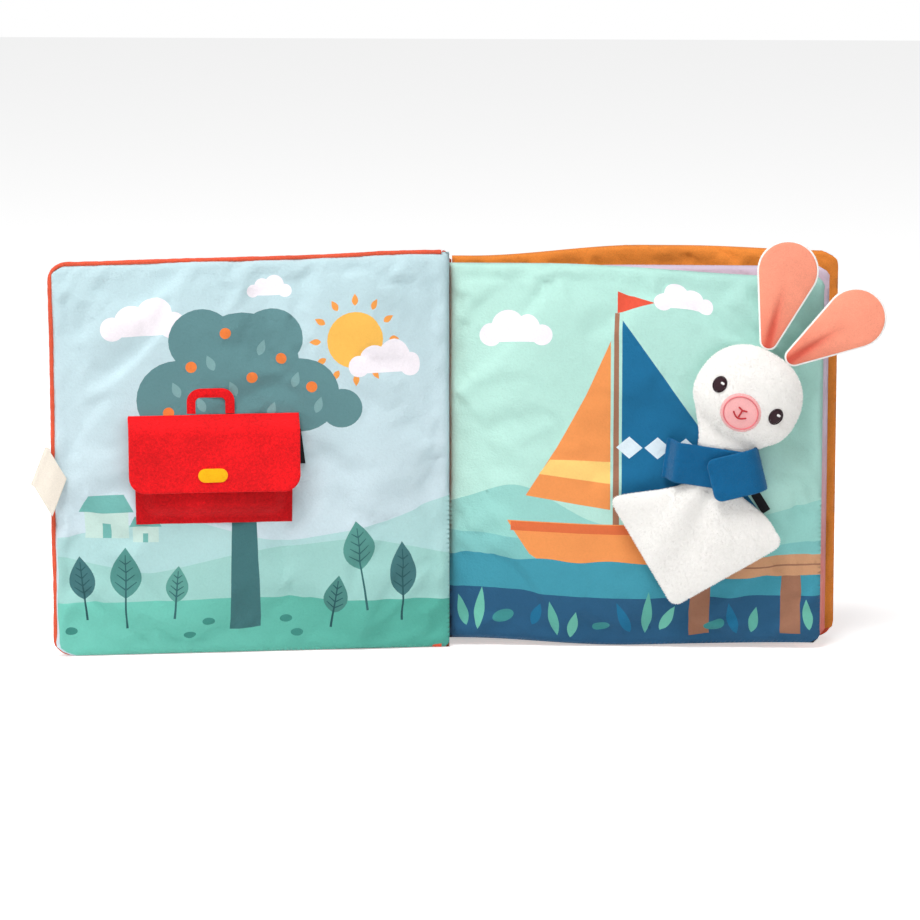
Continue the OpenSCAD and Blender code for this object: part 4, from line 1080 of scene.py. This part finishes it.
fastener_cloth = cloth_surface("blue_hook_tape", linear(10, 82, 130), weave=1800, mottle=0.3, sheen=0.2, crumple=0.3)
for name, node, depth in (("loop_tape", "fastener_loop", FASTENER_Y - 0.7),
                          ("hook_tape", "fastener_hook", FASTENER_Y - 1.4)):
    tape = cut_plate(name, rectangle(-6, -5, 6, 5), 0.7, depth + 0.7, on_leaf((NECK_X + 6, NECK_Z - 17.5), 0),
                     fastener_cloth, 0.0002)
    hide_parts(node)
    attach(tape, "block")
tether = cut_plate("tether_tape_black", rectangle(-2.5, -6, 2.5, 6), 1.6, -FIT,
                   on_leaf((NECK_X + 20.5, NECK_Z - 36.5), 148), black_tape, 0.0002)
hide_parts("tether_tape")
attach(tether, "block")

# ---------------------------------------------------------------------------
# Thread and pile: stitches laid along seams, and the pile of plush and velour,
# both as many small copies of one piece. The arms get their short pile here.
# ---------------------------------------------------------------------------
stitch_tree, given, out = geometry_tree("stitches", Spacing=0.0016, Long=0.0006, Thick=0.0002, Thread=None)
line = step(stitch_tree, "GeometryNodeMeshToCurve", ("Mesh", given.outputs["Geometry"]))
spots = step(stitch_tree, "GeometryNodeCurveToPoints", ("Curve", line.outputs[0]), ("Length", given.outputs["Spacing"]),
             mode="LENGTH")
bead = step(stitch_tree, "GeometryNodeMeshUVSphere", ("Segments", 8), ("Rings", 5), ("Radius", 1.0))
size = step(stitch_tree, "ShaderNodeCombineXYZ", ("X", given.outputs["Thick"]), ("Y", given.outputs["Thick"]),
            ("Z", given.outputs["Long"]))
sewn = step(stitch_tree, "GeometryNodeInstanceOnPoints", ("Points", spots.outputs["Points"]),
            ("Instance", bead.outputs["Mesh"]), ("Rotation", spots.outputs["Rotation"]), ("Scale", size.outputs[0]))
finish_tree(stitch_tree, out, sewn.outputs[0], given.outputs["Thread"])

pile_tree, given, out = geometry_tree("pile", Density=4.5e6, Long=1.0, Pile=None)
spots = step(pile_tree, "GeometryNodeDistributePointsOnFaces", ("Mesh", given.outputs["Geometry"]),
             ("Density", given.outputs["Density"]))
hair = step(pile_tree, "GeometryNodeMeshCone", ("Vertices", 3), ("Radius Bottom", 0.0002), ("Radius Top", 0.00002),
            ("Depth", 0.0008), fill_type="NONE")
swirl = step(pile_tree, "FunctionNodeRandomValue", data_type="FLOAT_VECTOR")
swirl.inputs[0].default_value, swirl.inputs[1].default_value = (-0.7, -0.7, -3.1), (0.7, 0.7, 3.1)
turned = step(pile_tree, "FunctionNodeRotateEuler", ("Rotation", spots.outputs["Rotation"]),
              ("Rotate By", swirl.outputs[0]), space="LOCAL")
grown = step(pile_tree, "FunctionNodeRandomValue")
grown.inputs[2].default_value, grown.inputs[3].default_value = 0.5, 1.0
grown = step(pile_tree, "ShaderNodeMath", (0, grown.outputs[1]), (1, given.outputs["Long"]), operation="MULTIPLY")
pile = step(pile_tree, "GeometryNodeInstanceOnPoints", ("Points", spots.outputs["Points"]),
            ("Instance", hair.outputs["Mesh"]), ("Rotation", turned.outputs[0]), ("Scale", grown.outputs[0]))
finish_tree(pile_tree, out, pile.outputs[0], given.outputs["Pile"])


def napped(obj, name, material, hidden=None, long=1.0):
    """The pile of a piece, on the faces that turn to the reader or to the rim. hidden tells where none grows."""
    skin = obj.data.copy()
    work = bmesh.new()
    work.from_mesh(skin)
    bare = [f for f in work.faces if f.normal.y > 0.35 or (hidden and hidden(f.calc_center_median()))]
    bmesh.ops.delete(work, geom=bare, context="FACES")
    work.to_mesh(skin)
    work.free()
    ground = bpy.data.objects.new(name, skin)
    scene.collection.objects.link(ground)
    nap = made_by(pile_tree, ground, Pile=material, Long=long)
    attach(nap, "block")
    return nap


def stitched(name, runs, material, body, spacing=0.0016, long=0.0006, thick=0.0002):
    sewn = made_by(stitch_tree, run_of_points(name, runs), Thread=material, Spacing=spacing, Long=long, Thick=thick)
    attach(sewn, body)
    return sewn


for arm in (left_arm, right_arm):
    napped(arm, arm.name + "_nap", blue_velour, long=0.55)

# ---------------------------------------------------------------------------
# Plush: a flat rabbit of white plush. Its body is a square blanket gathered at
# the neck, its head is lightly stuffed, and its ears are lined with salmon.
# ---------------------------------------------------------------------------
HEAD_W, HEAD_H, HEAD_UP, HEAD_FRONT, HEAD_LEAN = 58.5, 51.0, 2.0, 12.0, 30.0
HEAD_BACK = -PLUSH_Y - FIT - ARM_T - FIT
head_far, head_turn = HEAD_H / 2 + HEAD_UP, math.radians(HEAD_LEAN)
HEAD_AT = (NECK_X + math.sin(head_turn) * head_far, NECK_Z + math.cos(head_turn) * head_far)
NOSE_Z, EYE_X, EYE_Z, EYE_RX, EYE_RZ = -HEAD_H * 0.19, 17.5, -HEAD_H * 0.04, 3.4, 4.3
OVAL, CHEEK = 2.33, 0.07


def cushion_height(s, swell, rim):
    return rim / 2 + (swell - rim / 2) * np.maximum(0, 1 - np.power(np.clip(s, 0, 1), 2.4)) ** 0.62


def stuffed(name, outline, centre, front, back, rim, rings, place, material, stir=None):
    """A closed stuffed form over an outline in X and Z, with its swells towards the reader and away."""
    outline = np.array(outline, float)
    n = len(outline)
    points = [(centre[0], -front, centre[1])]
    rows = []
    for side, swell in ((-1, front), (1, back)):
        shares = [math.sin(math.pi / 2 * k / rings) for k in range(1, rings + 1)]
        rows += [(s, side, swell) for s in (shares if side < 0 else shares[::-1])]
    for s, side, swell in rows:
        ring = np.array(centre) + s * (outline - np.array(centre))
        height = side * (cushion_height(s, swell, rim) - (rim / 2 if s == 1 else 0) * 0.4)
        points += [(x, height, z) for x, z in ring]
    points.append((centre[0], back, centre[1]))
    points = np.array(points)
    if stir is not None:
        points = stir(points)
    last = len(points) - 1
    faces = [(0, 1 + i, 1 + (i + 1) % n) for i in range(n)]
    for k in range(len(rows) - 1):
        a = 1 + k * n
        faces += [(a + i, a + n + i, a + n + (i + 1) % n, a + (i + 1) % n) for i in range(n)]
    a = 1 + (len(rows) - 1) * n
    faces += [(a + i, last, a + (i + 1) % n) for i in range(n)]
    return cloth_object(name, place(points), faces, material)


white_plush = cloth_surface("white_plush", linear(252, 250, 247), weave=500, weave_depth=0.05, mottle=0.02, sheen=0.35,
                            crumple=0.15, roughness=0.95)
at_plush = lambda at, lean: (lambda points: on_leaf(at, lean)(np.asarray(points) + np.array([0, PLUSH_Y, 0])))


def between(p, q, parts):
    """The places that part the way from p to q, without its ends."""
    return [(p[0] + (q[0] - p[0]) * k / parts, p[1] + (q[1] - p[1]) * k / parts) for k in range(1, parts)]


def gathered(x, z):
    """The blanket's sides draw in towards the neck, the left one sooner than the right."""
    pinch = 0.65 * ease(z / 22.1) if x < 0 else 0.5 * ease((z - 10.35) / 15.9)
    return x * (1 - float(pinch)), z


BLANKET_SIDE, BLANKET_R, BLANKET_LEAN = 69.0, 5.0, 14.5
blanket_reach = BLANKET_SIDE / math.sqrt(2) - BLANKET_R * (math.sqrt(2) - 1)
corner_mid = BLANKET_SIDE / math.sqrt(2) - BLANKET_R * math.sqrt(2)
blanket_outline = []
for q in range(4):
    turn = math.pi / 2 * q
    corner = [(corner_mid * math.cos(turn) + BLANKET_R * math.cos(t),
               corner_mid * math.sin(turn) + BLANKET_R * math.sin(t))
              for t in np.linspace(turn - math.pi / 4, turn + math.pi / 4, 9)]
    if blanket_outline:
        blanket_outline += between(blanket_outline[-1], corner[0], 14)
    blanket_outline += corner
blanket_outline += between(blanket_outline[-1], blanket_outline[0], 14)
blanket_outline = [gathered(x, z) for x, z in blanket_outline]


def blanket_folds(points):
    """Folds that run out from the gathered neck and fade towards the hem."""
    neck = np.array([0, blanket_reach])
    dx, dz = points[:, 0] - neck[0], points[:, 2] - neck[1]
    far, turn = np.hypot(dx, dz), np.arctan2(dx, -dz)
    depth = 0.9 * np.clip(far / 18, 0, 1) * (1 - 0.6 * ease((far - 45) / 45))
    fold = depth * (np.sin(turn * 9 + 0.8) + 0.6 * np.sin(turn * 15 + far * 0.03))
    front = points[:, 1] < 0
    points[:, 1] += np.where(front, fold * 0.9, fold * 0.4)
    return points


c, s = math.cos(math.radians(BLANKET_LEAN)), math.sin(math.radians(BLANKET_LEAN))
blanket_at = (NECK_X - 2.6 - s * (blanket_reach + FIT), NECK_Z - 1.2 - c * (blanket_reach + FIT))
blanket = stuffed("plush_blanket", blanket_outline, (0, 0), BLANKET_T / 2, BLANKET_T / 2, 2.2, 16,
                  at_plush(blanket_at, BLANKET_LEAN), white_plush, blanket_folds)
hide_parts("rabbit_blanket")
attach(blanket, "block")
napped(blanket, "plush_blanket_nap", white_plush, lambda c: c.z > 0.094 and abs(c.x - 0.148) < 0.03)

head_outline = []
for k in range(72):
    t = 2 * math.pi * k / 72
    across = math.copysign(abs(math.cos(t)) ** (2 / OVAL), math.cos(t))
    up = math.copysign(abs(math.sin(t)) ** (2 / OVAL), math.sin(t))
    head_outline.append((HEAD_W / 2 * (1 - CHEEK * up) * across, HEAD_H / 2 * up))


def neck_drop(x):
    """How far the neck reaches below the chin. It runs down to the left, under the arms."""
    return 7 * (1 - float(ease((abs(x) - 10) / 14))) + 8 * math.exp(-((x + 5) / 6.5) ** 4)


head_outline = [(x, z - (neck_drop(x) if z < 0 else 0)) for x, z in head_outline]


def face_depth(x, z):
    """How far the head's front stands out at a point of the face."""
    up = np.abs(z) / HEAD_H * 2
    rough = (np.power(np.abs(x) / HEAD_W * 2, OVAL) + np.power(up, OVAL)) ** (1 / OVAL)
    cheek = 1 - CHEEK * z / HEAD_H * 2 / np.maximum(0.01, rough)
    share = (np.power(np.abs(x) / cheek / HEAD_W * 2, OVAL) + np.power(up, OVAL)) ** (1 / OVAL)
    return -cushion_height(share, HEAD_FRONT, 1.2)


def neck_pressed(points):
    """The neck below the chin is pressed flat where the arms close over it."""
    points[:, 1] = np.maximum(points[:, 1], np.minimum(face_depth(points[:, 0], points[:, 2]), -3.0))
    return points


head = stuffed("plush_head", head_outline, (0, 0), HEAD_FRONT, HEAD_BACK, 1.2, 16, at_plush(HEAD_AT, HEAD_LEAN),
               white_plush, neck_pressed)
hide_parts("rabbit_head")
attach(head, "block")
napped(head, "plush_head_nap", white_plush, lambda c: c.z < 0.1135 + (c.x - 0.15) * -0.1)


def face_patch(name, x, z, rx, rz, thick, material):
    """A round patch that follows the swell of the face, thickest in its middle."""
    rings, n = 6, 32
    points = []
    for side in (0, 1):
        for k in range(rings + 1):
            s = k / rings
            for i in range(n):
                t = 2 * math.pi * i / n
                px, pz = x + rx * s * math.cos(t), z + rz * s * math.sin(t)
                dome = thick * math.sqrt(max(0, 1 - s ** 4)) if side == 0 else -0.4
                points.append((px, float(face_depth(px, pz)) - dome, pz))
    faces = []
    for side in (0, 1):
        for k in range(rings):
            for i in range(n):
                a = side * (rings + 1) * n + k * n + i
                b = side * (rings + 1) * n + k * n + (i + 1) % n
                faces.append((a, b, b + n, a + n) if k else (a, b + n, a + n))
    first, second = rings * n, (2 * rings + 1) * n
    faces += [(first + i, first + (i + 1) % n, second + (i + 1) % n, second + i) for i in range(n)]
    return cloth_object(name, at_plush(HEAD_AT, HEAD_LEAN)(points), faces, material)


pink_cloth = cloth_surface("pink_muzzle_cloth", linear(248, 180, 180), weave=1500, mottle=0.05, sheen=0.4)
muzzle = face_patch("muzzle_patch", 0, NOSE_Z, 11.2, 10.8, 0.9, pink_cloth)
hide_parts("rabbit_muzzle")
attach(muzzle, "block")
dark_thread = cloth_surface("dark_thread", linear(46, 16, 26), weave=2600, mottle=0.25, sheen=0.1, roughness=0.5)
for side, name in ((-1, "left_eye"), (1, "right_eye")):
    eye = face_patch(name, side * EYE_X, EYE_Z, EYE_RX, EYE_RZ, 1.2, dark_thread)
    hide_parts("rabbit_eyes")
    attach(eye, "block")

red_thread = cloth_surface("red_thread", linear(196, 40, 48), weave=2600, mottle=0.2, sheen=0.2, roughness=0.6)
rose_thread = cloth_surface("rose_thread", linear(240, 128, 134), weave=2600, mottle=0.2, sheen=0.2, roughness=0.6)
white_thread = cloth_surface("white_thread", linear(250, 248, 246), weave=2600, mottle=0.1, sheen=0.2, roughness=0.6)


def on_face(points, lift):
    """Points on the face at X and Z, lifted off the head's surface."""
    return at_plush(HEAD_AT, HEAD_LEAN)([(x, float(face_depth(x, z)) - lift, z) for x, z in points])


stitched("muzzle_edge_stitches", [on_face(oval(0, NOSE_Z, 9.4, 9.0, n=90) + [(9.4, NOSE_Z)], 0.75)], rose_thread,
         "block", 0.0007, 0.0006, 0.00042)
mouth = [[(0, NOSE_Z + 1.5 - 0.25 * k) for k in range(0, 15)],
         *[[(side * (3.6 - 0.24 * k), NOSE_Z - 1.2 - 1.9 * math.sin(math.pi * k / 30)) for k in range(16)]
           for side in (-1, 1)],
         [(-2.2 + 0.22 * k, NOSE_Z + 2.4 - 0.06 * (10 - abs(10 - k))) for k in range(21)]]
stitched("mouth_stitches", [on_face(run, 1.05) for run in mouth], red_thread, "block", 0.0005,
         0.0006, 0.0005)
glints = [on_face([(x + 0.5 + 0.12 * k, EYE_Z + 1.4) for k in range(9)], 1.25) for x in (-EYE_X, EYE_X)]
stitched("eye_glints", glints, white_thread, "block", 0.0003, 0.0006, 0.0007)
rings = [on_face(oval(x, EYE_Z, EYE_RX + 0.1, EYE_RZ + 0.1, n=50) + [(x + EYE_RX + 0.1, EYE_Z)], 0.35)
         for x in (-EYE_X, EYE_X)]
stitched("eye_edge_stitches", rings, dark_thread, "block", 0.0006, 0.00055, 0.0003)

EAR_L, EAR_W, EAR_ROOT, EAR_T, EAR_RIM = 61.0, 33.0, 10.0, 2.2, 0.8


def ear_outline(l, w, root_w, lift=0.0):
    r, tip = root_w / 2, w / 2
    d = l - r - tip
    lean = math.asin((tip - r) / d)
    low = [(r * math.cos(t), lift + r + r * math.sin(t)) for t in np.linspace(math.pi + lean, 2 * math.pi - lean, 9)]
    high = [(tip * math.cos(t), lift + r + d + tip * math.sin(t)) for t in np.linspace(-lean, math.pi + lean, 36)]
    return low + between(low[-1], high[0], 10) + high + between(high[-1], low[0], 10)


def ear_fold(points):
    """The lining is pinched into a fold that runs up from the root."""
    x, z = points[:, 0], points[:, 2]
    depth = 1.2 * np.exp(-(x / 1.7) ** 2) * (1 - ease((z - EAR_L * 0.15) / (EAR_L * 0.5)))
    points[:, 1] += depth * np.clip((-points[:, 1] - 1.0) / 1.2, 0, 1)
    return points


def tinted(obj, at, lean, colour_at):
    """Paints a colour at each point of a piece, found from its places in X and Z about a point of the leaf."""
    c, s = math.cos(math.radians(lean)), math.sin(math.radians(lean))
    tint = obj.data.color_attributes.new("print_and_painted_shade", "FLOAT_COLOR", "POINT")
    for vertex, value in zip(obj.data.vertices, tint.data):
        x, z = vertex.co.x * 1000 - HINGE_X - at[0], vertex.co.z * 1000 - at[1]
        value.color = colour_at(x * c - z * s, x * s + z * c)


def salmon(x, z):
    """Salmon with painted shade: darker in the fold and towards the root by the head, where shade falls."""
    fold = math.exp(-(x / 2.4) ** 2) * (1 - float(ease((z - EAR_L * 0.2) / (EAR_L * 0.5))))
    deep = min(1, 0.75 * fold + 0.4 * (1 - float(ease(z / (EAR_L * 0.55)))))
    return tuple(np.array(linear(252, 156, 128)) * (1 - deep) + np.array(linear(214, 88, 70)) * deep)


salmon_velour_painted_shade = cloth_surface("salmon_velour_painted_shade", "print_and_painted_shade", weave=1500, mottle=0.08, sheen=0.2, crumple=0.6)
for side, turn in (("left", -15.5), ("right", 27.0)):
    share = 0.84 * math.sin(math.radians(turn * 0.75))
    root = (share * (1 - CHEEK) * HEAD_W / 2, (1 - abs(share) ** OVAL) ** (1 / OVAL) * HEAD_H / 2 + FIT)
    c, s = math.cos(math.radians(HEAD_LEAN)), math.sin(math.radians(HEAD_LEAN))
    ear_at = (HEAD_AT[0] + root[0] * c + root[1] * s, HEAD_AT[1] - root[0] * s + root[1] * c)
    ear = stuffed(side + "_ear_plush", ear_outline(EAR_L, EAR_W, EAR_ROOT), (0, EAR_L * 0.62), 0.6, EAR_T, 1.2, 10,
                  at_plush(ear_at, HEAD_LEAN + turn), white_plush)
    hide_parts(side + "_ear")
    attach(ear, "block")
    napped(ear, side + "_ear_nap", white_plush, long=0.4)
    lining = stuffed(side + "_ear_lining_velour",
                     ear_outline(EAR_L - 2 * EAR_RIM, EAR_W - 2 * EAR_RIM, EAR_ROOT - 2 * EAR_RIM, EAR_RIM),
                     (0, EAR_L * 0.62), EAR_T, 0.0, 1.2, 14, at_plush(ear_at, HEAD_LEAN + turn), salmon_velour_painted_shade,
                     ear_fold)
    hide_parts(side + "_ear_lining")
    # The lining's colours carry painted shade in the fold and near the root.
    tinted(lining, ear_at, HEAD_LEAN + turn, salmon)
    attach(lining, "block")
